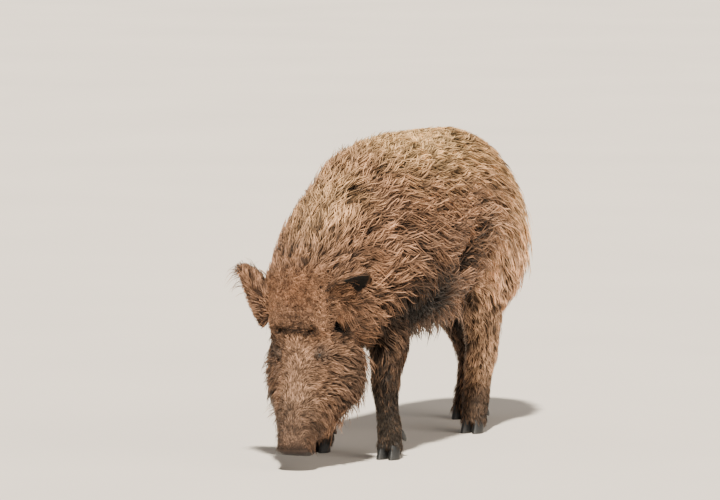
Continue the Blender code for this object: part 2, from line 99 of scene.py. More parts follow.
# The groom: for each node, where its guides stand (the shares of its box across, along and up), which way
# the hair lies there (across, along, up), how long it is in millimetres, and how far it rises for its
# length. Guides off the middle, and those of paired nodes, are repeated for the right side.
GUIDES = {
    "head": (
        ((0.5, 0.35, 1), (0, 0.7, 0.8), 40, 0.26),
        ((0.5, 0.1, 0.87), (0, 0.3, 1), 28, 0.4),
        ((0.5, 0.05, 0.72), (0, 0.2, 1), 14, 0.6),
        ((0.5, 0.05, 0.6), (0, -0.2, 1), 14, 0.75),
        ((0.65, 0.1, 0.6), (0.5, -0.2, 0.6), 14, 0.7),
        ((0.5, 0.05, 0.57), (0, -0.8, -0.6), 15, 0.7),
        ((0.65, 0.13, 0.57), (0.3, -0.8, -0.6), 15, 0.65),
        ((0.9, 0.42, 0.66), (0.9, 0, -0.6), 50, 0.45),
        ((0.5, 0.05, 0.51), (0, 0, 1), 12, 0.26),
        ((0.5, 0.05, 0.35), (0, 0, 1), 14, 0.24),
        ((0.5, 0.06, 0.25), (0, 0, 1), 14, 0.26),
        ((0.5, 0.1, 0.1), (0, -0.1, 1), 11, 0.28),
        ((0.6, 0.11, 0.13), (0.9, 0.1, 0.2), 15, 0.3),
        ((0.72, 0.2, 0.48), (0.7, 0.3, 0.3), 12, 0.24),
        ((0.7, 0.2, 0.33), (0.8, 0.3, -0.1), 17, 0.28),
        ((0.74, 0.28, 0.18), (0.8, 0.3, -0.5), 24, 0.34),
        ((0.66, 0.18, 0.09), (0.8, 0.2, -0.5), 19, 0.32),
        ((0.8, 0.34, 0.28), (0.8, 0.4, -0.4), 34, 0.34),
        ((0.88, 0.45, 0.39), (0.8, 0.5, -0.4), 42, 0.3),
        ((0.93, 0.5, 0.6), (0.8, 0.6, -0.1), 46, 0.3),
        ((0.78, 0.3, 0.64), (0.7, 0.5, 0.1), 25, 0.3),
        ((0.78, 0.4, 0.85), (0.5, 0.5, 0.7), 32, 0.3),
    ),
    "snout": (
        ((0.5, 0, 0.8), (0, -0.1, 1), 8, 0.24),
        ((1, 0.5, 0.9), (0.8, 0.2, -0.6), 14, 0.32),
        ((0.5, 0, 0.45), (0, -0.1, 1), 5, 0.2),
        ((0.5, 0.5, 0), (0, 1, 0), 3, 0.15),
    ),
    "jaw": (
        ((1, 0.35, 0.45), (0.8, 0.3, -0.6), 50, 0.38),
        ((1, 0.5, 0.85), (0.9, 0.5, -0.35), 55, 0.34),
        ((0.82, 0.25, 0.18), (0.6, 0.2, -0.8), 42, 0.36),
        ((0.5, 1, 0.6), (0, 0.6, -0.8), 50, 0.38),
        ((0.5, 0.5, 0.1), (0, 0.6, -0.6), 22, 0.3),
        ((0.5, 0.15, 0), (0, 0.4, -0.5), 12, 0.28),
    ),
    "neck": (
        ((0.5, 0.1, 0.75), (0, 0.6, 0.8), 55, 0.27),
        ((0.5, 0.8, 1), (0, 0.85, 0.55), 60, 0.26),
        ((0.9, 0.4, 0.7), (0.1, 0.9, 0.35), 60, 0.25),
        ((1, 0.5, 0.45), (0.15, 1, -0.05), 62, 0.25),
        ((0.95, 0.7, 0.15), (0.1, 0.8, -0.6), 58, 0.28),
    ),
    "trunk": (
        ((0.5, 0.15, 0.97), (0, 1, 0.15), 50, 0.2),
        ((0.5, 0.5, 1), (0, 1, 0), 27, 0.18),
        ((0.5, 0.85, 0.95), (0, 0.85, -0.5), 45, 0.2),
        ((0.5, 1, 0.65), (0, 0.15, -1), 70, 0.24),
        ((0.9, 0.15, 0.75), (0, 1, -0.15), 80, 0.18),
        ((0.95, 0.5, 0.8), (0, 1, -0.25), 66, 0.17),
        ((0.9, 0.9, 0.6), (0, 0.3, -1), 104, 0.2),
        ((0.97, 0.75, 0.7), (0, 0.8, -0.65), 80, 0.18),
        ((1, 0.1, 0.45), (0.05, 0.9, -0.45), 78, 0.2),
        ((1, 0.45, 0.5), (0, 1, -0.12), 88, 0.17),
        ((0.97, 0.3, 0.2), (0, 1, 0.25), 65, 0.28),
        ((0.95, 0.55, 0.15), (0, 1, -0.2), 65, 0.3),
        ((0.95, 0.75, 0.3), (0, 0.6, -0.8), 60, 0.28),
        ((0.8, 0.5, 0.03), (0.15, 0.5, -0.9), 60, 0.45),
        ((0.5, 0.5, 0), (0, 0.9, -0.3), 45, 0.32),
        ((0.5, 0, 0.2), (0, 0.1, -1), 50, 0.32),
        ((0.6, 0.75, 0.05), (0, 0.6, -0.6), 30, 0.28),
    ),
    "leg_front": (
        ((0.95, 0.5, 0.85), (0.05, 0.3, -1), 45, 0.27),
        ((0.8, 0.8, 0.7), (0, 0.5, -1), 40, 0.28),
        ((0.75, 0.4, 0.5), (0, 0.15, -1), 24, 0.24),
        ((0.2, 0.4, 0.5), (0, 0.15, -1), 22, 0.24),
        ((0.5, 0.7, 0.5), (0, 0.5, -1), 28, 0.3),
        ((0.5, 0.4, 0.28), (0, 0.1, -1), 16, 0.22),
        ((0.5, 0.4, 0.05), (0, 0.1, -1), 13, 0.24),
    ),
    "leg_hind": (
        ((1, 0.6, 0.9), (0, 0.3, -1), 84, 0.23),
        ((0.95, 0.6, 0.6), (0, 0.4, -1), 38, 0.27),
        ((0.8, 0.15, 0.75), (0, 0.5, -0.9), 40, 0.28),
        ((0.2, 0.5, 0.8), (0, 0.2, -1), 28, 0.24),
        ((0.8, 0.7, 0.45), (0, 0.3, -1), 26, 0.26),
        ((0.7, 0.95, 0.35), (0, 0.4, -1), 24, 0.28),
        ((0.6, 0.6, 0.2), (0, 0.1, -1), 16, 0.22),
        ((0.6, 0.5, 0.04), (0, 0.1, -1), 13, 0.24),
    ),
    "ear": (
        ((0.2, 0.5, 0.3), (1, 0.1, 0.3), 16, 0.12),
        ((0.8, 0.5, 0.8), (1, 0.1, -0.1), 20, 0.12),
    ),
    "tail": (
        ((0.5, 0.5, 0.6), (0, 0.1, -1), 38, 0.22),
        ((0.5, 0.5, 0), (0, 0.1, -1), 60, 0.25),
    ),
}

# Markings: a palette colour, the node and the shares of its box where it is centred, how far it spreads
# across, along and up in metres, and how strongly it covers what is below it.
# Some paint light and shade rather than the coat's colour: sunlight on the back, crest, rump and thighs,
# shade in the armpits, groin, lower flank, inner legs, throat and below the brow.
MARKINGS = (
    # The back's top: partly the coat's own colour, partly painted sunlight from above.
    ("sunlit_golden", "trunk", (0.5, 0.46, 1), (0.16, 0.38, 0.16), 1),
    # Painted sunlight on the outer thighs, the gaskins and the side of the rump.
    ("sunlit_sandy", "leg_hind", (1, 0.55, 0.75), (0.12, 0.24, 0.28), 1),
    ("sunlit_sandy", "trunk", (0.98, 0.8, 0.45), (0.08, 0.2, 0.16), 0.5),
    ("sunlit_sandy", "leg_hind", (0.68, 0.48, 0.42), (0.12, 0.2, 0.15), 1),
    # The cheek: partly the coat's darker brown, partly painted shade on the side turned from the light.
    ("umber", "head", (0.94, 0.48, 0.33), (0.07, 0.09, 0.14), 0.95),
    ("umber", "head", (0.62, 0.14, 0.11), (0.09, 0.08, 0.065), 0.9),
    ("umber", "jaw", (0.9, 0.4, 0.4), (0.08, 0.1, 0.12), 0.6),
    # Painted sunlight on the top of the rump.
    ("sunlit_golden", "trunk", (0.9, 0.85, 0.75), (0.14, 0.16, 0.16), 0.5),
    ("umber", "trunk", (0.85, 0.02, 0.7), (0.08, 0.08, 0.05), 0.5),
    ("umber", "trunk", (0.9, 0.08, 0.52), (0.07, 0.1, 0.05), 0.55),
    ("umber", "trunk", (0.95, 0.25, 0.45), (0.1, 0.18, 0.09), 0.4),
    # The belly: partly its black hair, partly painted shade on the underside.
    ("dark", "trunk", (0.5, 0.4, 0), (0.22, 0.42, 0.08), 0.95),
    # Painted shade round the top of the fore leg: the armpit and the crease of the elbow.
    ("dark", "leg_front", (0.87, 0.27, 0.86), (0.08, 0.1, 0.052), 1),
    ("dark", "leg_front", (0.8, 0.72, 0.81), (0.09, 0.12, 0.045), 1),
    ("dark", "leg_front", (0.6, 0.05, 0.75), (0.06, 0.06, 0.05), 0.9),
    ("dark", "leg_front", (0.97, 0.62, 0.95), (0.09, 0.17, 0.065), 0.97),
    # Painted shade at the throat, where the jaw meets the neck.
    ("dark", "jaw", (0.5, 1, 0.55), (0.12, 0.1, 0.12), 0.8),
    # Painted shade in the hollow under the ear.
    ("dark", "head", (0.9, 0.5, 0.572), (0.042, 0.055, 0.022), 1),
    ("dark", "head", (0.78, 0.33, 0.25), (0.018, 0.028, 0.013), 0.85),
    # The crest: partly the coat's own colour, partly painted sunlight.
    ("sunlit_golden", "neck", (0.5, 0.3, 0.85), (0.08, 0.15, 0.13), 0.4),
    ("russet", "head", (0.5, 0.1, 0.7), (0.06, 0.08, 0.09), 0.7),
    # The bridge of the nose: partly paler hair, partly painted light on its lit face.
    ("pale", "head", (0.5, 0.05, 0.32), (0.09, 0.08, 0.14), 0.5),
    ("grey", "head", (0.69, 0.25, 0.44), (0.018, 0.04, 0.024), 0.7),
    # Painted shade below the forehead's overhanging pad: darker on its lower part, dark on the line under
    # it.
    ("umber", "head", (0.5, 0.05, 0.62), (0.07, 0.06, 0.035), 0.6),
    ("dark", "head", (0.5, 0.05, 0.555), (0.045, 0.04, 0.01), 0.9),
    ("dark", "head", (0.56, 0.07, 0.55), (0.036, 0.04, 0.014), 1),
    ("dark", "head", (0.65, 0.14, 0.556), (0.014, 0.04, 0.012), 0.7),
    ("umber", "head", (0.5, 0.05, 0.09), (0.11, 0.11, 0.06), 0.8),
    ("umber", "snout", (0.5, 0.5, 0.9), (0.09, 0.08, 0.035), 0.5),
    ("snout", "snout", (0.5, 0.5, 0.1), (0.3, 0.3, 0.028), 1),
    ("olive", "leg_front", (0.5, 0.3, 0.25), (0.12, 0.15, 0.2), 0.92),
    ("umber", "leg_hind", (0.6, 0.6, 0.12), (0.12, 0.25, 0.08), 0.8),
    ("olive", "leg_hind", (0.6, 0.6, 0), (0.12, 0.25, 0.12), 0.95),
    ("olive", "leg_front", (0.5, 0.5, 0.02), (0.12, 0.25, 0.12), 0.95),
    # The inner thighs: partly dark hair, partly painted shade; in the groin, painted shade.
    ("dark", "leg_hind", (0.05, 0.4, 0.55), (0.055, 0.3, 0.28), 1),
    ("dark", "leg_hind", (0.42, 0.02, 0.68), (0.05, 0.045, 0.09), 1),
    ("dark", "leg_hind", (0.54, 0.09, 0.7), (0.021, 0.04, 0.05), 1),
    ("dark", "leg_hind", (0.08, 0.6, 0.55), (0.045, 0.24, 0.26), 1),
    # Painted shade on the lower flank, which faces down.
    ("dark", "trunk", (0.86, 0.45, 0.08), (0.1, 0.14, 0.055), 0.95),
    ("dark", "trunk", (0.95, 0.22, 0.16), (0.1, 0.17, 0.065), 1),
    # Painted shade on the inner side of the fore leg.
    ("dark", "leg_front", (0.1, 0.5, 0.8), (0.05, 0.16, 0.14), 0.8),
)

# Folds of the body: the node whose box holds each, how deep and wide it is in metres, 1 where the hair
# stops short of it, and the shares of the points along it.
# A fold's depth also darkens the colour of the skin and hair in it, as painted shade.
FOLDS = (
    ("trunk", 0.021, 0.015, 1, ((0.97, 0.55, 0.57), (0.99, 0.49, 0.47), (1, 0.44, 0.41), (1, 0.36, 0.37))),
    ("trunk", 0.026, 0.022, 1, ((0.93, 0.55, 0.25), (0.82, 0.58, 0.15), (0.6, 0.56, 0.05))),
    ("trunk", 0.012, 0.02, 1, ((0.88, 0.12, 0.05), (0.95, 0.2, 0.18), (0.97, 0.26, 0.24))),
    ("head", 0.011, 0.008, 0, ((0.5, 0.06, 0.545), (0.62, 0.1, 0.545), (0.67, 0.16, 0.56))),
    ("head", 0.026, 0.02, 1, ((0.85, 0.43, 0.58), (0.98, 0.62, 0.556))),
)

# How far the nodes of the flesh swell until they meet, and the distance within which one guide rules.
SWELLING = 0.0008
GUIDE_CORE = 0.02
# The lids' radius against the eyeball's, the radius of a nostril, how far over the snout the corner of the
# mouth lies, how deep the mouth's line is, and the depth of fold that is painted fully in shade.
LID = 1.13
NOSTRIL = 0.0085
MOUTH_CORNER = 0.115
MOUTH_DEPTH = 0.005
FULL_CREASE = 0.012
# How far the skin of the ears is sunk, and how far their hair rises for its length. An ear's half width
# and its reach take in this percentage of its points.
EAR_DEPTH = 0.0012
EAR_LIFT = 0.26
NEAR_ALL = 97


# --- Node trees ---


class Link:
    """A node socket on which Python's operators work: numbers by Math nodes, vectors by Vector Math."""

    def __init__(self, graph, socket):
        self.graph = graph
        self.socket = socket
        self.is_vector = socket.type in ("VECTOR", "RGBA")

    def join(self, operation, first, second):
        if any(isinstance(side, Link) and side.is_vector for side in (first, second)):
            return self.graph.vector(operation, first, second)
        return self.graph.maths(operation, first, second)

    def __add__(self, other):
        return self.join("ADD", self, other)

    def __sub__(self, other):
        return self.join("SUBTRACT", self, other)

    def __rsub__(self, other):
        return self.join("SUBTRACT", other, self)

    def __mul__(self, other):
        if self.is_vector and not (isinstance(other, Link) and other.is_vector):
            return self.graph.out("ShaderNodeVectorMath", {"operation": "SCALE"}, {0: self, "Scale": other})
        return self.join("MULTIPLY", self, other)

    def __pow__(self, other):
        return self.graph.maths("POWER", self, other)

    __radd__ = __add__
    __rmul__ = __mul__


class Graph:
    """Fills one node tree; every node comes from node(), whose inputs are values, sockets or Links."""

    def __init__(self, tree):
        self.tree = tree

    def node(self, kind, settings=None, inputs=None):
        made = self.tree.nodes.new(kind)
        for name, value in (settings or {}).items():
            setattr(made, name, value)
        for key, value in (inputs or {}).items():
            socket = self.pick(made.inputs, key)
            source = value.socket if isinstance(value, Link) else value
            if isinstance(source, bpy.types.NodeSocket):
                self.tree.links.new(source, socket)
            else:
                socket.default_value = source
        return made

    def pick(self, sockets, key):
        if isinstance(key, int):
            return sockets[key]
        return next(s for s in sockets if s.enabled and s.name == key)

    def out(self, kind, settings=None, inputs=None, output=None):
        """The node's output as a Link: the named one, or its first that is in use."""
        made = self.node(kind, settings, inputs)
        if output is not None:
            return Link(self, self.pick(made.outputs, output))
        return Link(self, next(s for s in made.outputs if s.enabled))

    def maths(self, operation, *values):
        return self.out("ShaderNodeMath", {"operation": operation}, dict(enumerate(values)))

    def vector(self, operation, *values):
        return self.out("ShaderNodeVectorMath", {"operation": operation}, dict(enumerate(values)))

    def parts(self, vector):
        made = self.node("ShaderNodeSeparateXYZ", None, {0: vector})
        return [Link(self, socket) for socket in made.outputs]

    def mix(self, factor, first, second):
        """Mixes two colours."""
        return self.out("ShaderNodeMix", {"data_type": "RGBA"}, {0: factor, 6: first, 7: second})

    def remap(self, value, low, high, new_low=0.0, new_high=1.0):
        inputs = {0: value, 1: low, 2: high, 3: new_low, 4: new_high}
        return self.out("ShaderNodeMapRange", {"clamp": True}, inputs)

    def noise(self, place, scale, detail):
        return self.out("ShaderNodeTexNoise", None, {"Vector": place, "Scale": scale, "Detail": detail})


# --- Materials ---


def new_material(name, **constants):
    """A Principled material; what is the same all over is set on its sockets here."""
    material = bpy.data.materials.new(name)
    material.use_nodes = True
    material.node_tree.nodes.clear()
    graph = Graph(material.node_tree)
    inputs = {key.replace("_", " "): value for key, value in constants.items()}
    shader = graph.node("ShaderNodeBsdfPrincipled", None, inputs)
    graph.node("ShaderNodeOutputMaterial", None, {"Surface": shader.outputs[0]})
    place = graph.out("ShaderNodeTexCoord", None, None, "Object")
    return material, graph, shader, place


def feed(graph, shader, **links):
    """Links values to the shader's sockets; an underscore in a name stands for a space."""
    for name, value in links.items():
        graph.tree.links.new(value.socket, shader.inputs[name.replace("_", " ")])


def attribute(graph, name, output="Fac"):
    return graph.out("ShaderNodeAttribute", {"attribute_name": name}, None, output)


def stretched(graph, place, scale):
    return graph.out("ShaderNodeMapping", None, {"Vector": place, "Scale": scale})


def bump(graph, height, strength, distance):
    inputs = {"Strength": strength, "Distance": distance, "Height": height}
    return graph.out("ShaderNodeBump", None, inputs)


def solid(colour, brightness=1.0):
    return tuple(brightness * part for part in colour) + (1.0,)


def coat_material(settings):
    """Hair: darkened toward the root as painted shade between the locks, paler at the tip, each lock a
    little different.
    """
    material, graph, shader, place = new_material("coat hair", Specular_IOR_Level=0.24)
    marking = attribute(graph, "coat_colour", "Color")
    along = attribute(graph, "along")
    tint = attribute(graph, "tint")
    lengthwise = stretched(graph, place, (1.0, 0.32, 1.0))
    streak = graph.remap(graph.noise(place, 260.0, 2.0), 0.3, 0.7, 0.85, 1.12)
    patch = graph.remap(graph.noise(place, 9.0, 3.0), 0.3, 0.7, 0.84, 1.16)
    band = graph.remap(graph.noise(lengthwise, 55.0, 2.0), 0.36, 0.64, 0.60, 1.20)
    # The darkening toward the root is painted shade where the locks lie over each other; tint, streak, patch
    # and band vary the tone from lock to lock.
    rooted = graph.remap(along, 0.08, 0.78, settings.root_shade, 1.0)
    light = rooted * graph.remap(tint, 0.1, 0.9, 0.18, 1.74) * streak * patch * band
    marking = graph.mix(graph.remap(tint, 0.70, 0.84, 0.0, 0.28), marking, solid(settings.tan, 0.75))
    tipped = graph.mix(graph.remap(along, 0.45, 1.0, 0.0, 0.45), marking, marking * 1.45)
    feed(graph, shader, Base_Color=tipped * light, Roughness=graph.remap(tint, 0, 1, 0.58, 0.34))
    return material


def skin_material(settings):
    """Skin under the coat: the same markings, darkened as painted shade where hair covers it, with the grain
    of the short flat hair.
    """
    material, graph, shader, place = new_material("skin", Specular_IOR_Level=0.18)
    bare = attribute(graph, "bare")
    grain = graph.noise(stretched(graph, place, (1.0, 1.0, 0.22)), 420.0, 3.0)
    pores = graph.out("ShaderNodeTexVoronoi", None, {"Vector": place, "Scale": 520.0})
    blotch = graph.remap(graph.noise(place, 30.0, 4.0), 0.3, 0.7, 0.8, 1.1)
    shade = graph.remap(grain, 0.35, 0.65, 0.45, 1.0) * blotch
    # Painted shade: skin under hair is darkened down to the skin shade, bare skin is not.
    shade = shade * graph.remap(bare, 0.0, 1.0, settings.skin_shade, 1.0)
    relief = bump(graph, grain * (1.0 - bare) * 0.7 + pores * bare, 0.6, 0.0015)
    wet = graph.remap(bare, 0.0, 1.0, 0.90, 0.50) + graph.remap(pores, 0.0, 0.6, -0.06, 0.06)
    colour = attribute(graph, "coat_colour", "Color") * shade
    feed(graph, shader, Base_Color=colour, Roughness=wet, Normal=relief)
    return material


def eye_material(settings):
    """A wet eye: dark brown iris with fibres, a wide pupil and a little dull white at the corners."""
    wet = {"Roughness": 0.12, "Coat_Weight": 0.25, "Coat_Roughness": 0.03, "Specular_IOR_Level": 0.4}
    material, graph, shader, place = new_material("eye", **wet)
    out = attribute(graph, "from_axis")
    iris = graph.mix(graph.noise(place, 900.0, 2.0), solid(settings.iris), solid(settings.iris, 2.2))
    inner = graph.mix(graph.remap(out, 0.50, 0.56), (0.004, 0.003, 0.003, 1.0), iris)
    feed(graph, shader, Base_Color=graph.mix(graph.remap(out, 0.80, 0.90), inner, solid(settings.eye_white)))
    return material


def horn_material(settings):
    """Hoof horn: growth rings round the claw, scuffed paler toward the sole."""
    material, graph, shader, place = new_material("horn", Specular_IOR_Level=0.4)
    height = graph.parts(place)[2]
    rings = graph.maths("SINE", (height + graph.noise(place, 40.0, 2.0) * 0.008) * 2200.0)
    speck = graph.noise(place, 300.0, 4.0)
    worn = graph.remap(height, 0.0, 0.025, 1.0, 0.0) * graph.remap(speck, 0.35, 0.6)
    colour = graph.mix(worn * 0.7 + rings * 0.06, solid(settings.horn), solid(settings.worn_horn))
    relief = bump(graph, rings * 0.5 + speck, 0.5, 0.0008)
    rough = graph.remap(speck, 0.3, 0.7, 0.35, 0.62)
    feed(graph, shader, Base_Color=colour, Roughness=rough, Normal=relief)
    return material


def floor_material(settings):
    """A plain pale floor with faint clouds in it."""
    material, graph, shader, place = new_material("studio floor", Roughness=0.9)
    shade = graph.remap(graph.noise(place, 0.8, 3.0), 0.3, 0.7, 0.97, 1.03)
    plain = graph.out("ShaderNodeCombineColor", None, dict(enumerate(settings.floor_colour)))
    feed(graph, shader, Base_Color=plain * shade)
    return material


# --- Mesh helpers ---


def spot(name, share, hand=1):
    """The point at these shares of a node's box; share 1 across is the outer side of a paired node."""
    low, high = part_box(f"{name}_left" if name in PAIRED else name)
    point = [low[i] + share[i] * (high[i] - low[i]) for i in range(3)]
    point[0] *= hand
    return point


def fetched(data, field, width, kind=float):
    """One field of a mesh's elements, as an array with a row for each."""
    values = np.empty(len(data) * width, kind)
    data.foreach_get(field, values)
    return values.reshape(-1, width)


def coordinates(mesh):
    return fetched(mesh.vertices, "co", 3)


def vertex_normals(mesh):
    return fetched(mesh.vertex_normals, "vector", 3)


def edge_ends(mesh):
    return fetched(mesh.edges, "vertices", 2, np.int64)


def read(mesh, name):
    """The numbers that store() kept under a name."""
    return fetched(mesh.attributes[name].data, "value", 1, np.float32)[:, 0]


def store(mesh, name, values, kind="FLOAT", domain="POINT"):
    """Keeps one value for each vertex, or each corner, as an attribute of the mesh."""
    made = mesh.attributes.new(name, kind, domain)
    field = {"FLOAT": "value", "FLOAT_VECTOR": "vector", "FLOAT_COLOR": "color"}[kind]
    made.data.foreach_set(field, np.asarray(values, np.float32).ravel())


def move_to(mesh, co):
    mesh.vertices.foreach_set("co", co.astype(np.float32).ravel())
    mesh.update()


def smooth(mesh):
    mesh.polygons.foreach_set("use_smooth", [True] * len(mesh.polygons))


def averaged(values, ends, rounds, share=0.5):
    """Moves each vertex's value toward the mean of its neighbours', a number of rounds."""
    values = values.copy()
    count = len(values)
    degree = np.bincount(ends.ravel(), minlength=count).clip(1)
    for _ in range(rounds):
        mean = np.empty_like(values)
        for column in range(values.shape[1]):
            part = values[:, column]
            total = np.bincount(ends[:, 0], part[ends[:, 1]], count)
            total += np.bincount(ends[:, 1], part[ends[:, 0]], count)
            mean[:, column] = total / degree
        values += share * (mean - values)
    return values


def unit(vectors):
    return vectors / np.linalg.norm(vectors, axis=-1, keepdims=True).clip(1e-9)


def smoothstep(low, high, values):
    t = np.clip((values - low) / (high - low), 0, 1)
    return t * t * (3 - 2 * t)


def fading(low, high, values):
    return 1 - smoothstep(low, high, values)


def hump(values, middle, wide):
    """1 at the middle, falling off on both sides."""
    return np.exp(-(((values - middle) / wide) ** 2))


def blended(first, second, share):
    """The first value, giving way to the second by its share."""
    return first * (1 - share) + second * share


def linked(name, data):
    made = bpy.data.objects.new(name, data)
    bpy.context.scene.collection.objects.link(made)
    return made


def evaluated(obj, name):
    """The object's mesh with its modifiers, as a plain mesh; the object itself is removed."""
    graph = bpy.context.evaluated_depsgraph_get()
    mesh = bpy.data.meshes.new_from_object(obj.evaluated_get(graph))
    mesh.name = name
    bpy.data.objects.remove(obj)
    return mesh


def merged_node(name):
    """A node's mesh with its loose triangles merged, as a bmesh."""
    joined = bmesh.new()
    joined.from_mesh(NODES[name].data)
    bmesh.ops.remove_doubles(joined, verts=joined.verts, dist=1e-5)
    joined.normal_update()
    return joined


def region_weights(co, ends, rounds):
    """How much each vertex belongs to each region: the nearest node's, softened over the surface."""
    points = []
    faces = []
    owners = []
    for name in FLESH:
        joined = merged_node(name)
        first = len(points)
        points += [v.co.copy() for v in joined.verts]
        joined.verts.index_update()
        faces += [[first + v.index for v in f.verts] for f in joined.faces]
        owner = next(i for i, region in enumerate(REGIONS) if name.startswith(region))
        owners += [owner] * len(joined.faces)
        joined.free()
    tree = BVHTree.FromPolygons(points, faces)
    nearest = [tree.find_nearest(Vector(p))[2] for p in co]
    weights = np.eye(len(REGIONS))[np.array(owners)[nearest]]
    return averaged(weights, ends, rounds)


def in_regions(weights, *names):
    """How much each vertex belongs to the named regions together."""
    return sum(weights[:, REGIONS.index(name)] for name in names)


# --- Skin ---


def flesh_mesh(voxel):
    """All the flesh as one closed surface: the nodes are swollen until they meet, then remeshed."""
    joined = bmesh.new()
    for name in FLESH:
        one = merged_node(name)
        for vertex in one.verts:
            vertex.co += vertex.normal * SWELLING
        part = bpy.data.meshes.new(name)
        one.to_mesh(part)
        one.free()
        joined.from_mesh(part)
        bpy.data.meshes.remove(part)
    mesh = bpy.data.meshes.new("flesh")
    joined.to_mesh(mesh)
    joined.free()
    flesh = linked("flesh", mesh)
    remesh = flesh.modifiers.new("remesh", "REMESH")
    remesh.mode = "VOXEL"
    remesh.voxel_size = voxel
    return evaluated(flesh, "skin")


def relaxed(mesh, rounds):
    """Smooths away facets and steps; each round shrinks the shape a little and swells it back."""
    co = coordinates(mesh)
    ends = edge_ends(mesh)
    for _ in range(rounds):
        co = averaged(co, ends, 1, 0.55)
        co = averaged(co, ends, 1, -0.57)
    move_to(mesh, co)


def thinned(mesh, keep):
    """Fewer faces where long hair hides the skin: on the trunk, the neck and the thighs."""
    co = coordinates(mesh)
    weights = region_weights(co, edge_ends(mesh), 6)
    thigh = smoothstep(0.30, 0.38, co[:, 2])
    covered = in_regions(weights, "trunk", "neck") + in_regions(weights, "leg_front", "leg_hind") * thigh
    covered = np.clip(covered, 0, 1)
    skin = linked("thinning", mesh)
    group = skin.vertex_groups.new(name="covered")
    for level in range(1, 5):
        chosen = np.flatnonzero(np.round(covered * 4) == level)
        group.add(chosen.tolist(), level / 4, "REPLACE")
    decimate = skin.modifiers.new("decimate", "DECIMATE")
    decimate.ratio = keep
    decimate.vertex_group = group.name
    return evaluated(skin, "skin")


def refined(mesh, centres, reach):
    """Splits the edges near the given points once."""
    fine = bmesh.new()
    fine.from_mesh(mesh)
    near = []
    for edge in fine.edges:
        middle = (edge.verts[0].co + edge.verts[1].co) / 2
        if any((middle - centre).length < reach for centre in centres):
            near.append(edge)
    bmesh.ops.subdivide_edges(fine, edges=near, cuts=1, use_grid_fill=True)
    bmesh.ops.triangulate(fine, faces=[f for f in fine.faces if len(f.verts) > 4])
    fine.to_mesh(mesh)
    fine.free()
    mesh.update()


def groom(co):
    """The lie, length and lift of the hair at each point, blended from the guides."""
    places = []
    values = []
    rows = ((name, row) for name, guides in GUIDES.items() for row in guides)
    for name, (share, lie, length, lift) in rows:
        for hand in HANDS.values():
            if hand < 0 and name not in PAIRED and share[0] == 0.5:
                continue
            places.append(spot(name, share, hand))
            values.append((*unit(np.array((lie[0] * hand, lie[1], lie[2]))), length / 1000, lift))
    places = np.array(places)
    values = np.array(values)
    result = np.zeros((len(co), 5))
    for first in range(0, len(co), 20000):
        block = slice(first, first + 20000)
        apart = ((co[block, None, :] - places[None]) ** 2).sum(2)
        pull = 1 / (apart + GUIDE_CORE**2) ** 2.5
        result[block] = (pull / pull.sum(1, keepdims=True)) @ values
    return result[:, :3], result[:, 3], result[:, 4]


def coat_colours(co, settings):
    """The markings of the coat, painted sunlight and shade among them, as one colour for each point."""
    colours = np.tile(np.array(settings.tan), (len(co), 1))
    for name, node, share, spread, strength in MARKINGS:
        cover = np.zeros(len(co))
        for hand in HANDS.values():
            away = (co - np.array(spot(node, share, hand))) / np.array(spread)
            cover = np.maximum(cover, np.exp(-((away**2).sum(1) ** 1.5)))
        colours = blended(colours, np.array(getattr(settings, name)), (strength * cover)[:, None])
    return colours


class EyeSite:
    """Where one eye sits: its centre, the way it looks out of the head, and its long axis."""

    def __init__(self, hand, mesh):
        low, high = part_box(f"eye_{hand}")
        self.centre = np.array((low + high) / 2)
        self.radius = (high[2] - low[2]) / 2
        near = np.linalg.norm(coordinates(mesh) - self.centre, axis=1) < 2.0 * self.radius
        self.out = unit(vertex_normals(mesh)[near].mean(0))
        self.long = unit(UP - self.out * self.out[2])
        self.short = np.cross(self.out, self.long)

    def local(self, co):
        """Distances outward and from the middle, and how far out each point is against the lids' gap.

        The gap is almond-shaped, and its edge is 1.
        """
        away = co - self.centre
        along = away @ self.long
        across = away @ self.short
        almond = np.hypot(along / (0.80 * self.radius), across / (0.30 * self.radius))
        return away @ self.out, np.hypot(along, across), almond


def shape_lids(co, site):
    """Lays the skin over the eyeball as two lids with an almond-shaped gap between them."""
    out, flat, almond = site.local(co)
    near = fading(1.3 * site.radius, 2.3 * site.radius, flat)
    near *= out > -0.5 * site.radius
    cap = np.sqrt(np.clip((LID * site.radius) ** 2 - flat**2, 0, None))
    shift = near * (np.maximum(cap, 0.35 * site.radius) - out)
    relief = 0.0010 * hump(almond, 1.45, 0.3) - 0.0012 * hump(almond, 2.5, 0.35)
    shift += near * (relief - fading(0.85, 1.15, almond) * 0.55 * site.radius)
    return co + shift[:, None] * site.out


def shape_snout(co, normals):
    """Nostrils in the disc of the snout, the disc's rim, and the wrinkles above it."""
    co = co.copy()
    low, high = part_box("snout")
    middle = (low[1] + high[1]) / 2
    for hand in HANDS.values():
        nostril = np.array((hand * 0.30 * high[0], middle - 0.012, low[2] + 0.004))
        away = np.linalg.norm(co - nostril, axis=1) / NOSTRIL
        co[:, 2] += 0.013 * hump(away, 0, 1) - 0.0012 * hump(away, 1.5, 0.4)
    near = np.clip(1 - np.abs(co[:, 1] - middle) / 0.09, 0, 1)
    height = co[:, 2] - low[2]
    wrinkles = 0.0008 * np.sin(height * 420) * smoothstep(0.03, 0.045, height) * fading(0.09, 0.12, height)
    relief = 0.0052 * hump(height, 0.009, 0.007) - 0.0036 * hump(height, 0.027, 0.009) + wrinkles
    return co + (relief * near * (height < 0.13))[:, None] * normals


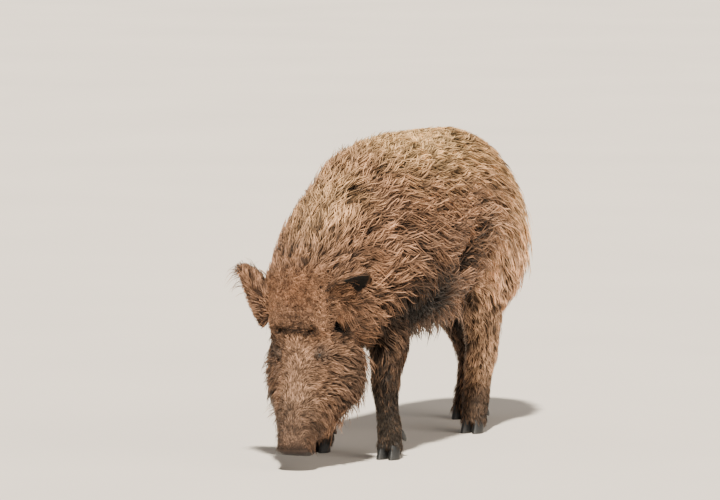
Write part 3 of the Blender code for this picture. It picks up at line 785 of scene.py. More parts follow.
def toward_line(co, points):
    """From each place to the nearest point of a line through the given points."""
    nearest = np.full(co.shape, 1e3)
    for start, end in zip(points[:-1], points[1:]):
        start, end = np.array(start), np.array(end)
        step = end - start
        share = np.clip((co - start) @ step / (step @ step), 0, 1)
        toward = start + share[:, None] * step - co
        closer = (toward**2).sum(1) < (nearest**2).sum(1)
        nearest[closer] = toward[closer]
    return nearest


def folds(co, lie):
    """How deep each place lies in a fold of the body, and how long its hair is, to stop at the fold."""
    depth = np.zeros(len(co))
    room = np.ones(len(co))
    for name, deep, wide, parting, points in FOLDS:
        for hand in HANDS.values():
            toward = toward_line(co, [spot(name, share, hand) for share in points])
            away = np.linalg.norm(toward, axis=1)
            depth = np.maximum(depth, deep * hump(away, 0, wide))
            ahead = (toward * lie).sum(1) > 0.2 * away
            if parting:
                room = np.minimum(room, np.where(ahead, 0.70 * away + 0.006, 1.0))
    return depth, room


def shape_feet(co):
    """Draws each foot in round the tops of its claws, with a cleft between the two."""
    co = co.copy()
    for foot in (f"{end}_{hand}" for end in ("front", "hind") for hand in HANDS):
        outer, inner = (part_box(f"claw_{foot}_{side}") for side in ("outer", "inner"))
        low = np.minimum(outer[0], inner[0])
        high = np.maximum(outer[1], inner[1])
        away = co - (low + high) / 2
        own = (np.abs(away[:, 0]) < 0.06) & (np.abs(away[:, 1]) < 0.075)
        tight = own * fading(0.5 * high[2], 2.2 * high[2], co[:, 2])
        cleft = tight * hump(away[:, 0], 0, 0.006) * (away[:, 1] < 0)
        co[:, 0] -= 0.16 * tight * away[:, 0]
        co[:, 1] -= 0.10 * tight * away[:, 1]
        co[:, 2] -= 0.006 * tight
        co[:, 1] += 0.012 * cleft
    return co


class EarShape:
    """One ear: its long and wide ways, its hollow and its edge, how it is carried and how its hair lies."""

    def __init__(self, co, normals, chosen, hand):
        self.hand = hand
        self.chosen = chosen * 1.0
        self.middle = co[chosen].mean(0)
        own = co[chosen] - self.middle
        away = co - self.middle
        self.long, wide, thin = np.linalg.svd(own, full_matrices=False)[2]
        self.long = self.long * np.sign(self.long[0] * self.middle[0])
        bend = np.polyfit((own @ wide) ** 2, own @ thin, 1)[0]
        turned = normals @ (thin * np.sign(bend))
        across = np.abs(away @ wide) / np.percentile(np.abs(own @ wide), NEAR_ALL)
        self.outward = away @ self.long / np.percentile(own @ self.long, NEAR_ALL)
        self.hollow = chosen * smoothstep(-0.1, 0.25, turned) * fading(0.85, 1.05, across)
        self.hollow *= fading(0.75, 1.0, self.outward)
        self.edge = chosen * smoothstep(0.72, 0.92, across) * smoothstep(-1.1, -0.5, self.outward)
        self.low = smoothstep(-0.004, 0.012, self.middle[2] - co[:, 2])

    def carried(self, co, part):
        """The points with the ear shorter and higher; the right one is a wing, narrow at its end."""
        shorter = part * smoothstep(-0.3, 1.0, self.outward)
        if self.hand > 0:
            shorter = 0.022 * shorter
            raised = 0.011 * part
        else:
            shorter = 0.034 * shorter
            height = np.clip(co[:, 2] - self.middle[2], -0.06, 0.06)
            reach = smoothstep(0.09, 0.19, -co[:, 0])
            hung = 0.028 + 0.034 * self.low
            raised = part * (0.044 * reach - hung * (1 - reach) - 0.35 * reach * height)
        return co - shorter[:, None] * self.long + np.outer(raised, UP)

    def dressed(self):
        """Where the hollow is bare, where the rim has long hair, and the lie and length of the hair."""
        tip = self.chosen * smoothstep(0.0, 0.4, self.outward)
        down = 0.75 - 1.6 * self.low
        if self.hand > 0:
            hollow = smoothstep(0.04, 0.42, self.hollow)
            rim = self.edge * (1 - self.low) * (1 - hollow)
            length = blended(0.030, 0.044, rim)
        else:
            hollow = smoothstep(0.04, 0.42, self.hollow * 0.8 * self.low * (1 - tip))
            rim = np.maximum(self.edge, tip) * (1 - hollow)
            length = blended(0.026, 0.050 - 0.008 * self.low, rim)
            down = down * (1 - 0.6 * smoothstep(0.0, 0.8, self.outward))
        return hollow, rim, self.long + np.outer(down, UP), length


def mouth_seam(co, weights):
    """How near each point is to the line where the jaw meets the upper lip, up to the mouth's corner."""
    jaw = in_regions(weights, "jaw")
    upper = in_regions(weights, "head", "snout")
    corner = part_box("snout")[1][2] + MOUTH_CORNER
    line = hump(jaw - upper, 0, 0.30) * np.clip(jaw + upper, 0, 1)
    return line * fading(corner - 0.02, corner, co[:, 2]) * (jaw * upper > 0.02)


class BOAR_OT_skin(bpy.types.Operator):
    """Builds one skin in place of all the flesh, sunk below the coat's tips"""

    bl_idname = "boar.skin"
    bl_label = "Skin"

    def execute(self, context):
        settings = context.scene.boar_skin
        mesh = flesh_mesh(settings.voxel)
        relaxed(mesh, 6)
        mesh = thinned(mesh, settings.keep)
        relaxed(mesh, 3)
        eyes = [sum(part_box(f"eye_{hand}"), Vector()) / 2 for hand in HANDS]
        for reach in (0.045, 0.028):
            refined(mesh, eyes, reach)
        refined(mesh, [sum(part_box("snout"), Vector()) / 2], 0.075)
        relaxed(mesh, 2)
        self.sculpt(mesh, settings.sink, context.scene.boar_coat)
        skin = linked("skin", mesh)
        mesh.materials.append(skin_material(context.scene.boar_coat))
        smooth(mesh)
        self.unwrap(skin)
        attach(skin, "root")
        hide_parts(*FLESH)
        return {"FINISHED"}

    def sculpt(self, mesh, sink, coat):
        """Sinks the skin by the depth of the coat, shapes its details and stores what the coat grows by."""
        ends = edge_ends(mesh)
        co = coordinates(mesh)
        sharp = region_weights(co, ends, 2)
        thin = in_regions(averaged(sharp, ends, 8), "ear")
        lie, length, lift = groom(co)
        normals = averaged(vertex_normals(mesh), ends, 4)
        crease, room = folds(co, lie)
        ears = []
        for hand in HANDS.values():
            own = co[:, 0] * hand > 0
            ear = EarShape(co, normals, (in_regions(sharp, "ear") > 0.5) & own, hand)
            ears.append(ear)
            co = ear.carried(co, thin * own)
        depth = blended(length * lift * sink, EAR_DEPTH, thin)
        depth = averaged(depth[:, None], ends, 8) + crease[:, None]
        move_to(mesh, co - depth * unit(normals))
        relaxed(mesh, 2)
        co = coordinates(mesh)
        seam = mouth_seam(co, sharp)
        normals = vertex_normals(mesh)
        co = shape_feet(shape_snout(co - (MOUTH_DEPTH * seam)[:, None] * normals, normals))
        disc = fading(0.017, 0.024, co[:, 2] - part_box("snout")[0][2]) * in_regions(sharp, "snout")
        # Under short hair the skin counts a quarter bare, so less painted shade darkens it.
        bare = np.maximum.reduce([0.8 * seam, disc, 0.25 * fading(0.010, 0.020, length)])
        lashes = np.zeros(len(co))
        for hand in HANDS:
            site = EyeSite(hand, mesh)
            _, flat, almond = site.local(co)
            round_eye = flat < 2 * site.radius
            bare = np.maximum(bare, fading(1.05, 1.45, almond) * round_eye)
            lashes = np.maximum(lashes, round_eye * hump(almond, 1.55, 0.25))
            away = (fading(1.6, 2.6, almond) * round_eye)[:, None]
            lie = blended(lie, unit(co - site.centre), away)
            co = shape_lids(co, site)
        move_to(mesh, co)
        normals = vertex_normals(mesh)
        lie = lie - (lie * normals).sum(1)[:, None] * normals
        lie = averaged(lie, ends, 6)
        crease = crease / FULL_CREASE
        length = np.minimum(length, room)
        dark = np.array(coat.dark)
        # Painted shade in the folds, as deep as the fold; the rims of the lids are darkened too.
        fold_shade_and_lid_rims = np.clip(np.maximum(crease, 0.8 * lashes), 0, 1)[:, None]
        colours = blended(coat_colours(co, coat), 0.5 * dark, fold_shade_and_lid_rims)
        edge = np.zeros(len(co))
        for ear in ears:
            hollow, rim, ear_lie, ear_length = ear.dressed()
            # The ear's hollow: partly dark skin, partly painted shade inside it.
            colours = blended(colours, 0.12 * dark, hollow[:, None])
            lie = blended(lie, ear_lie, ear.chosen[:, None])
            length = blended(length, ear_length, ear.chosen)
            lift = blended(lift, EAR_LIFT, ear.chosen)
            bare = np.maximum(bare, hollow)
            edge = np.maximum(edge, rim)
        hair = {"hair_length": length, "hair_lift": lift, "lashes": lashes, "ear_rim": edge}
        for name, values in {**hair, "bare": bare, "crease": crease}.items():
            store(mesh, name, values)
        store(mesh, "lie", unit(lie), "FLOAT_VECTOR")
        store(mesh, "coat_colour", np.column_stack([colours, np.ones(len(co))]), "FLOAT_COLOR")

    def unwrap(self, skin):
        """The unwrap on which every lock finds the place of its root."""
        bpy.context.view_layer.objects.active = skin
        skin.select_set(True)
        bpy.ops.object.mode_set(mode="EDIT")
        bpy.ops.mesh.select_all(action="SELECT")
        bpy.ops.uv.smart_project(angle_limit=math.radians(66), island_margin=0.002)
        bpy.ops.object.mode_set(mode="OBJECT")
        skin.data.uv_layers.active.name = "OFBake"
        skin.select_set(False)


# --- Coat ---


def lock_template(name, rings):
    """A closed three-sided lock that tapers to a point; its shape is kept as attributes, not places."""
    turns = [2 * math.pi * side / LOCK_SIDES for side in range(LOCK_SIDES)]
    corners = [(place, width, turn) for place, width in rings for turn in turns] + [(1.0, 0.0, 0.0)]
    tip = len(corners) - 1
    faces = []
    for start in range(0, tip, LOCK_SIDES):
        for side in range(LOCK_SIDES):
            a = start + side
            b = start + (side + 1) % LOCK_SIDES
            last = start + LOCK_SIDES == tip
            faces.append((a, b, tip) if last else (a, b, b + LOCK_SIDES, a + LOCK_SIDES))
    faces.append(tuple(reversed(range(LOCK_SIDES))))
    along, girth, turn = np.array(corners).T
    wide = np.cos(turn) * girth
    deep = np.sin(turn) * girth
    mesh = bpy.data.meshes.new(name)
    mesh.from_pydata(np.column_stack([wide * 0.1, deep * 0.1, along]).tolist(), [], faces)
    corner = fetched(mesh.loops, "vertex_index", 1, np.int32)[:, 0]
    patch = np.column_stack([turn / (2 * math.pi), along, np.zeros(len(along))])[corner]
    store(mesh, "patch", patch, "FLOAT_VECTOR", "CORNER")
    for field, values in {"along": along, "wide": wide, "deep": deep}.items():
        store(mesh, field, values)
    smooth(mesh)
    return mesh


def named(graph, name, kind="FLOAT"):
    return graph.out("GeometryNodeInputNamedAttribute", {"data_type": kind}, {"Name": name})


def keep_as(graph, geometry, name, value, kind="FLOAT", domain="POINT"):
    inputs = {"Geometry": geometry, "Name": name, "Value": value}
    settings = {"data_type": kind, "domain": domain}
    return graph.out("GeometryNodeStoreNamedAttribute", settings, inputs)


def without(vector, axis):
    """What is left of a vector when its part along a unit axis is taken away."""
    return vector - axis * vector.graph.vector("DOT_PRODUCT", vector, axis)


def coat_tree(template, material):
    """Geometry nodes: scatters locks on the skin and lays each one along it, waved and clumped."""
    tree = bpy.data.node_groups.new("coat locks", "GeometryNodeTree")
    for way in ("INPUT", "OUTPUT"):
        tree.interface.new_socket("Geometry", in_out=way, socket_type="NodeSocketGeometry")
    tree.interface.new_socket("Seed", in_out="INPUT", socket_type="NodeSocketInt")
    for name, default in LOCK_WAYS.items():
        made = tree.interface.new_socket(name, in_out="INPUT", socket_type="NodeSocketFloat")
        made.default_value = default
    graph = Graph(tree)
    entry = {s.name: Link(graph, s) for s in graph.node("NodeGroupInput").outputs if s.name}
    skin = entry["Geometry"]
    seed = entry["Seed"]

    # Where the locks grow, the clump that each belongs to, and what differs from lock to lock.
    growth = named(graph, "growth")
    inputs = {"Mesh": skin, "Density": growth, "Seed": seed}
    scatter = graph.node("GeometryNodeDistributePointsOnFaces", None, inputs)
    points = Link(graph, scatter.outputs["Points"])
    inputs["Density"] = graph.maths("MINIMUM", growth, 1.0) * entry["Clumps"]
    inputs["Seed"] = seed + 7
    centres = graph.out("GeometryNodeDistributePointsOnFaces", None, inputs)
    root = graph.out("GeometryNodeInputPosition")
    nearest = graph.out("GeometryNodeSampleNearest", {"domain": "POINT"}, {"Geometry": centres})
    inputs = {"Geometry": centres, "Value": root, "Index": nearest}
    clump = graph.out("GeometryNodeSampleIndex", {"data_type": "FLOAT_VECTOR", "domain": "POINT"}, inputs)
    ways = {"root": root, "up": Link(graph, scatter.outputs["Normal"]), "clump": clump}
    for name, value in ways.items():
        points = keep_as(graph, points, name, value, "FLOAT_VECTOR")
    ranges = {"tint": (0.0, 1.0), "size": (0.75, 1.2), "top": (0.25, 1.15), "stray": (-1.0, 1.0)}
    for draw, (name, (low, high)) in enumerate(ranges.items(), 1):
        inputs = {"Min": low, "Max": high, "Seed": seed + draw}
        value = graph.out("FunctionNodeRandomValue", {"data_type": "FLOAT"}, inputs)
        if name == "tint":
            clump_tint = graph.out("ShaderNodeTexWhiteNoise", None, {"Vector": clump})
            value = value * 0.5 + clump_tint * 0.5
        points = keep_as(graph, points, name, value)
    model = graph.out("GeometryNodeObjectInfo", None, {"Object": template}, "Geometry")
    locks = graph.out("GeometryNodeInstanceOnPoints", None, {"Points": points, "Instance": model})
    locks = graph.out("GeometryNodeRealizeInstances", None, {"Geometry": locks})

    # The spine of each lock: its turn away from the lie, its wave, its pull to the clump and its rise.
    along = named(graph, "along")
    root, up, lie, clump = (named(graph, name, "FLOAT_VECTOR") for name in ("root", "up", "lie", "clump"))
    length = named(graph, "hair_length") * named(graph, "size") * entry["Length"]
    lift = named(graph, "hair_lift") * named(graph, "top") * entry["Lift"]
    tangent = graph.vector("NORMALIZE", without(lie, up))
    side = graph.vector("CROSS_PRODUCT", up, tangent)
    broad = graph.noise(clump, 11.0, 1.0)
    fine = graph.noise(clump, 70.0, 0.0)
    turn = (broad - 0.5) * entry["Swirl"] * BROAD_TURN + (fine - 0.5) * entry["Swirl"] * FINE_TURN
    turn = turn + named(graph, "stray") * entry["Stray"]
    flow = tangent * graph.maths("COSINE", turn) + side * graph.maths("SINE", turn)
    cross = graph.vector("CROSS_PRODUCT", up, flow)
    phase = fine * 25.0
    wave = graph.maths("SINE", along * WAVE_TURN + phase) - graph.maths("SINE", phase)
    inward = without(without(clump - root, flow), up)
    line = root + flow * (length * along) + cross * (length * entry["Wave"] * wave)
    line = line + inward * (entry["Pull"] * along**1.4)
    rise = length * lift * (1.0 - (1.0 - along) ** 1.7) - ROOT_DEPTH
    sag = graph.out("ShaderNodeCombineXYZ", None, {2: length * entry["Droop"] * along**2.0 * -1.0})
    free = line + up * rise + sag

    # The skin below the spine, from which a lock that hugs it keeps its rise.
    inputs = {"Geometry": skin, "Sample Position": line}
    touch = graph.out("GeometryNodeProximity", {"target_element": "FACES"}, inputs)
    inputs = {"Mesh": skin, "Value": graph.out("GeometryNodeInputNormal"), "Sample Position": line}
    outward = graph.out("GeometryNodeSampleNearestSurface", {"data_type": "FLOAT_VECTOR"}, inputs)
    spine = free + (touch + outward * rise - free) * entry["Hug"]
    girth = (length * THICKENING + THINNEST) * entry["Width"]
    place = spine + cross * (named(graph, "wide") * girth) + up * (named(graph, "deep") * girth * 0.6)
    x, y, z = graph.parts(place)
    place = graph.out("ShaderNodeCombineXYZ", None, {0: x, 1: y, 2: graph.maths("MAXIMUM", z, LOWEST)})
    locks = graph.out("GeometryNodeSetPosition", None, {"Geometry": locks, "Position": place})
    unwrap = named(graph, "OFBake", "FLOAT_VECTOR") + named(graph, "patch", "FLOAT_VECTOR") * PATCH
    locks = keep_as(graph, locks, "OFBake", unwrap, "FLOAT2", "CORNER")
    locks = graph.out("GeometryNodeSetMaterial", None, {"Geometry": locks, "Material": material})
    graph.node("NodeGroupOutput", None, {"Geometry": locks})
    return tree


# Half the width of a lock: a part of its length, and what the shortest has in metres. Then how deep its
# root stands in the skin, the lowest that any hair reaches over the floor, and the size of a lock's patch
# on the unwrap.
THICKENING = 0.017
THINNEST = 0.0006
ROOT_DEPTH = 0.0012
LOWEST = 0.002
PATCH = 0.003
# How far the broad and the fine swirls turn a lock, and a lock's wave from root to tip, all in radians.
BROAD_TURN = 4.2
FINE_TURN = 0.8
WAVE_TURN = 4.2
# How high the tuft below each ear stands, the hair that is combed in long locks, in strands and in the
# ruff from this length on, how high the hem of hair over the hooves reaches, and the most triangles that a
# piece may have.
TUFT_HEIGHT = 0.392
LONG_HAIR = 0.026
STRAND_HAIR = 0.040
RUFF_HAIR = 0.034
HEM_HEIGHT = 0.052
MOST_TRIANGLES = 200000
# The locks: where each ring stands along one, and its girth there.
LOCK_SIDES = 3
LOCKS = {
    "long": ((0.0, 0.6), (0.28, 1.0), (0.55, 0.85), (0.80, 0.5)),
    "middling": ((0.0, 0.6), (0.34, 1.0), (0.70, 0.75)),
    "short": ((0.0, 0.8), (0.55, 0.8)),
}
KEPT = ("position", "OFBake", "coat_colour", "along", "tint", "material_index", "sharp_face")
# How a lock grows where neither its zone nor the settings say otherwise, and the zones' own ways: how long
# and wide it is and how far it rises, against what its place gives; how far it turns from the lie, in
# radians; its wave; the clumps to the square metre and how far they pull it; how closely it hugs the skin;
# how far its tip droops; and how far it strays from its clump.
LOCK_WAYS = {
    "Length": 1.0,
    "Width": 1.0,
    "Lift": 1.0,
    "Swirl": 0.5,
    "Wave": 0.05,
    "Clumps": 5000.0,
    "Pull": 0.7,
    "Hug": 1.0,
    "Droop": 0.0,
    "Stray": 0.07,
}
WISPY = {"Length": 1.4, "Swirl": 0.44, "Wave": 0.11}
COMBED = {"Length": 1.4, "Swirl": 0.30, "Wave": 0.10}
WOOLLY = {"Swirl": 1.2, "Stray": 1.7, "Wave": 0.16, "Clumps": 22000.0, "Pull": 0.2, "Width": 0.9}
CUFF = {"Length": 1.6, "Lift": 1.6, "Hug": 0.0, "Clumps": 26000.0, "Pull": 0.4, "Wave": 0.05}
LASH = {"Length": 0.8, "Lift": 2.4, "Width": 0.6, "Hug": 0.0, "Clumps": 90000.0, "Pull": 0.2, "Swirl": 0.1}
SLEEK = {"Clumps": 20000.0, "Pull": 0.45, "Wave": 0.08, "Swirl": 0.5, "Stray": 0.35}
SHORN = {"Clumps": 12000.0, "Pull": 0.6, "Wave": 0.10, "Stray": 0.35, "Lift": 1.25, "Length": 1.15}
HANGING = {"Length": 1.35, "Lift": 1.5, "Hug": 0.0, "Droop": 0.35}
FRINGE = {"Hug": 0.0, "Droop": 0.75, "Swirl": 0.22, "Wave": 0.08, "Pull": 0.5, "Width": 0.5}
ARCHED = {**FRINGE, "Hug": 0.3, "Droop": 0.15, "Width": 0.6}
BRISTLY = {"Length": 1.5, "Lift": 1.3, "Hug": 0.0, "Droop": 0.2, "Width": 0.5, "Swirl": 0.8}
MANED = {"Length": 1.15, "Lift": 1.7, "Hug": 0.0, "Width": 0.8}
STRANDS = {"Length": 1.15, "Lift": 1.35, "Width": 0.45, "Hug": 0.7, "Pull": 0.4, "Swirl": 0.6, "Wave": 0.13}
RUFF = {"Length": 1.25, "Lift": 1.25, "Hug": 0.35, "Droop": 0.15}


def coat_zones(mesh, weights):
    """The zones of the coat: a name, its points, its cover, the kind of lock and how it grows there."""
    co = coordinates(mesh)
    x, y, z = co.T
    up = vertex_normals(mesh)[:, 2]
    length = read(mesh, "hair_length")
    rim = read(mesh, "ear_rim") > 0.4
    lashes = read(mesh, "lashes") > 0.6
    owners = (("trunk", "tail"), ("leg_front", "leg_hind"), ("head", "jaw", "snout"), ("ear",), ("neck",))
    owner = np.argmax(np.column_stack([in_regions(weights, *names) for names in owners]), axis=1)
    body, legs, face, ears, neck = (owner == i for i in range(len(owners)))
    long_hair = length > LONG_HAIR
    _, waist, high = spot("trunk", (0.5, 0.50, 0.55))
    front = y < waist
    top = z > high
    belly = body & (z < spot("trunk", (0.5, 0.5, 0.22))[2]) & (up < -0.25)
    _, behind_brow, brow = spot("head", (0.5, 0.6, 0.545))
    poll = spot("head", (0.5, 0.5, 0.83))[2]
    wool = face & (np.abs(x) < 0.075) & (z > brow) & (z < poll) & (y < behind_brow)
    muzzle = face & (z < spot("head", (0.5, 0.5, 0.20))[2])
    below_ear = spot("head", (0.5, 0.42, 0.5))[1]
    tuft = face & (np.abs(x) > 0.085) & (np.abs(z - TUFT_HEIGHT) < 0.042) & (np.abs(y - below_ear) < 0.040)
    mane = (np.abs(x) < 0.035) & (up > 0.3) & (neck | body & front)
    hem = legs & (z < HEM_HEIGHT)
    cheek = face & long_hair & ~wool
    for hand_name, hand in HANDS.items():
        own = (x >= 0) if hand > 0 else (x < 0)
        zones = (
            ("back_front", body & front & top, 0.75, "long", WISPY),
            ("back_rear", body & ~front & top, 0.75, "long", COMBED),
            ("flank_front", body & front & ~top, 0.75, "long", WISPY),
            ("flank_rear", body & ~front & ~top, 0.75, "long", COMBED),
            ("strands", ~legs & (length > STRAND_HAIR), 0.07, "middling", STRANDS),
            ("belly", belly, 0.3, "middling", HANGING),
            ("leg_upper", legs & long_hair, 0.55, "middling", {}),
            ("leg_lower", legs & ~long_hair & ~hem, 0.6, "short", SHORN),
            ("hem", hem, 0.7, "short", CUFF),
            ("neck", neck, 0.85, "long", WISPY),
            ("cheek", cheek, 0.8, "long", {}),
            ("ruff", cheek & (length > RUFF_HAIR), 0.25, "long", RUFF),
            ("forehead", wool, 1.8, "short", WOOLLY),
            ("face", face & ~long_hair & ~wool, 0.9, "short", SLEEK),
            ("lashes", lashes, 1.2, "short", LASH),
            ("ear", ears & ~rim, 1.2, "middling", {}),
            ("ear_fringe", rim, 3.0, "long", ARCHED if hand > 0 else FRINGE),
            ("ear_tuft", tuft, 1.0, "long", FRINGE),
            ("bristles", muzzle, 0.12, "middling", BRISTLY),
            ("mane", mane, 0.35, "middling", MANED),
        )
        for name, chosen, cover, kind, ways in zones:
            yield f"coat_{name}_{hand_name}", own & chosen, cover, kind, ways


class BOAR_OT_coat(bpy.types.Operator):
    """Grows the coat in locks over the skin, zone by zone"""

    bl_idname = "boar.coat"
    bl_label = "Coat"

    def execute(self, context):
        settings = context.scene.boar_coat
        skin = bpy.data.objects["skin"].data
        weights = region_weights(coordinates(skin), edge_ends(skin), 2)
        length = read(skin, "hair_length")
        hairy = fading(0.3, 0.5, read(skin, "bare"))
        unfolded = 1 - 0.9 * smoothstep(0.5, 0.9, read(skin, "crease"))
        material = coat_material(settings)
        models = {kind: linked(f"{kind} lock", lock_template(kind, rings)) for kind, rings in LOCKS.items()}
        trees = {kind: coat_tree(model, material) for kind, model in models.items()}
        thin = 1.0
        common = {name.capitalize(): getattr(settings, name) for name in ("swirl", "wave", "clumps", "pull")}
        common["Width"] = settings.width / math.sqrt(thin)
        for turn, (name, chosen, cover, kind, ways) in enumerate(coat_zones(skin, weights)):
            width = 2 * (length * THICKENING + THINNEST)
            growth = settings.overlap * cover / (length * width) * chosen * thin
            if ways is not LASH:
                growth = growth * hairy * unfolded
            self.grow(name, skin, growth, trees[kind], {**common, "Seed": turn * 20, **ways})
        for model in models.values():
            bpy.data.objects.remove(model)
        return {"FINISHED"}

    def grow(self, name, skin, growth, tree, ways):
        """Grows one zone as a piece of its own, of plain mesh."""
        base = linked(name, skin.copy())
        store(base.data, "growth", growth)
        modifier = base.modifiers.new("locks", "NODES")
        modifier.node_group = tree
        for item in tree.interface.items_tree:
            if item.in_out == "INPUT" and item.name in ways:
                modifier[item.identifier] = ways[item.name]
        mesh = evaluated(base, name)
        triangles = sum(len(p.vertices) - 2 for p in mesh.polygons)
        if triangles > MOST_TRIANGLES:
            raise RuntimeError(f"{name} has {triangles} triangles, over {MOST_TRIANGLES}")
        for extra in [a.name for a in mesh.attributes if a.name not in KEPT and not a.name.startswith(".")]:
            mesh.attributes.remove(mesh.attributes[extra])
        piece = linked(name, mesh)
        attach(piece, "root")


# --- Eyes and claws ---


# How wide the worn edges of the horn are.
HORN_EDGE = 0.0012


class BOAR_OT_eyes(bpy.types.Operator):
    """Builds the two eyeballs under the lids"""

    bl_idname = "boar.eyes"
    bl_label = "Eyes"

    def execute(self, context):
        material = eye_material(context.scene.boar_finish)
        for hand in HANDS:
            site = EyeSite(hand, bpy.data.objects["skin"].data)
            ball = bmesh.new()
            bmesh.ops.create_uvsphere(ball, u_segments=40, v_segments=28, radius=1.0)
            mesh = bpy.data.meshes.new(f"eyeball_{hand}")
            ball.to_mesh(mesh)
            ball.free()
            local = coordinates(mesh)
            cornea = 1 + 0.06 * smoothstep(0.80, 1.0, local[:, 2])
            local = local * cornea[:, None] * site.radius
            from_axis = np.hypot(local[:, 0], local[:, 1]) / site.radius
            from_axis[local[:, 2] < 0] = 1.0
            move_to(mesh, local @ np.array((site.long, site.short, site.out)) + site.centre)
            store(mesh, "from_axis", from_axis)
            mesh.materials.append(material)
            smooth(mesh)
            eye = linked(f"eyeball_{hand}", mesh)
            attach(eye, "root")
            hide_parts(f"eye_{hand}")
        return {"FINISHED"}


class BOAR_OT_claws(bpy.types.Operator):
    """Builds the horn of the eight claws and eight dewclaws"""

    bl_idname = "boar.claws"
    bl_label = "Claws"

    def execute(self, context):
        material = horn_material(context.scene.boar_finish)
        for name in (n for n in sorted(NODES) if n.startswith(("claw_", "dewclaw_"))):
            fine = merged_node(name)
            mesh = bpy.data.meshes.new(f"horn_{name}")
            bmesh.ops.dissolve_limit(fine, angle_limit=math.radians(3), verts=fine.verts, edges=fine.edges)
            fine.to_mesh(mesh)
            fine.free()
            rough = linked(f"horn_{name}", mesh)
            bevel = rough.modifiers.new("worn edge", "BEVEL")
            bevel.width = HORN_EDGE
            bevel.segments = 2
            bevel.limit_method = "ANGLE"
            bevel.angle_limit = math.radians(35)
            mesh = evaluated(rough, f"horn_{name}")
            mesh.materials.clear()
            mesh.materials.append(material)
            smooth(mesh)
            mesh.set_sharp_from_angle(angle=math.radians(40))
            piece = linked(f"horn_{name}", mesh)
            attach(piece, "root")
            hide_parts(name)
        return {"FINISHED"}


# --- Studio ---


LIGHT_DISTANCE = 5


def heading(azimuth, elevation=0.0):
    """The way to something that stands at this azimuth round the boar and this high."""
    level = math.cos(elevation)
    return Vector((math.sin(azimuth) * level, -math.cos(azimuth) * level, math.sin(elevation)))


def aim(obj, direction):
    obj.rotation_euler = direction.to_track_quat("-Z", "Y").to_euler()


class BOAR_OT_stage(bpy.types.Operator):
    """Sets the plain floor, the soft lights and the camera"""

    bl_idname = "boar.stage"
    bl_label = "Stage"

    def execute(self, context):
        settings = context.scene.boar_studio
        self.floor(settings)
        self.sky(settings)
        self.sun(settings, "key")
        self.sun(settings, "fill")
        self.camera(settings)
        return {"FINISHED"}

    def floor(self, settings):
        mesh = bpy.data.meshes.new("floor")
        half = settings.floor_size / 2
        corners = [(-half, -half, 0), (half, -half, 0), (half, half, 0), (-half, half, 0)]
        mesh.from_pydata(corners, [], [(0, 1, 2, 3)])
        mesh.materials.append(floor_material(settings))
        linked("floor", mesh)

    def sky(self, settings):
        world = bpy.data.worlds.new("studio")
        bpy.context.scene.world = world
        world.use_nodes = True
        sky = world.node_tree.nodes["Background"]
        sky.inputs["Color"].default_value = solid(settings.sky_colour)
        sky.inputs["Strength"].default_value = settings.sky_strength

    def sun(self, settings, name):
        """A soft light from far off; the settings that start with its name say what it is like."""
        azimuth, elevation, softness, strength, colour = (
            getattr(settings, f"{name}_{way}")
            for way in ("azimuth", "elevation", "softness", "strength", "colour")
        )
        data = bpy.data.lights.new(name, "SUN")
        data.angle = softness
        data.energy = strength
        data.color = colour
        light = linked(name, data)
        toward = heading(azimuth, elevation)
        light.location = (CAD_BOX[0] + CAD_BOX[1]) / 2 + toward * LIGHT_DISTANCE
        aim(light, -toward)

    def camera(self, settings):
        """Looks a little down from far off, so that the boar's outline is nearly flat."""
        inner, outer = (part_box(f"claw_front_left_{side}") for side in ("inner", "outer"))
        foot = Vector(((inner[0][0] + outer[1][0]) / 2, outer[1][1], 0.0)) + Vector(settings.camera_aim)
        azimuth = settings.camera_azimuth
        right = Vector((math.cos(azimuth), math.sin(azimuth), 0))
        data = bpy.data.cameras.new("camera")
        data.lens = settings.camera_lens
        data.clip_end = 200
        camera = linked("camera", data)
        camera.location = foot + heading(azimuth) * settings.camera_distance - right * settings.camera_side
        camera.location.z = settings.camera_height
        aim(camera, -heading(azimuth, settings.camera_tilt))
        bpy.context.scene.camera = camera


# --- Settings ---


def length_of(name, description, default, **limits):
    return bpy.props.FloatProperty(
        name=name, description=description, default=default, subtype="DISTANCE", unit="LENGTH", **limits
    )


def angle_of(name, description, degrees):
    return bpy.props.FloatProperty(
        name=name, description=description, default=math.radians(degrees), subtype="ANGLE", unit="ROTATION"
    )


def share_of(name, description, default):
    return bpy.props.FloatProperty(name=name, description=description, default=default, min=0.0)


def colour_of(name, description, default):
    return bpy.props.FloatVectorProperty(
        name=name, description=description, default=default, subtype="COLOR", size=3, min=0.0, max=1.0
    )


class BoarSkin(bpy.types.PropertyGroup):
    voxel: length_of("Voxel", "Size of the cells that the flesh is remeshed with", 0.0055, min=0.003)
    keep: share_of("Faces kept", "Share of the faces kept where long hair hides the skin", 0.55)
    sink: share_of("Sink", "How deep the skin lies, as a share of the coat's rise", 0.9)


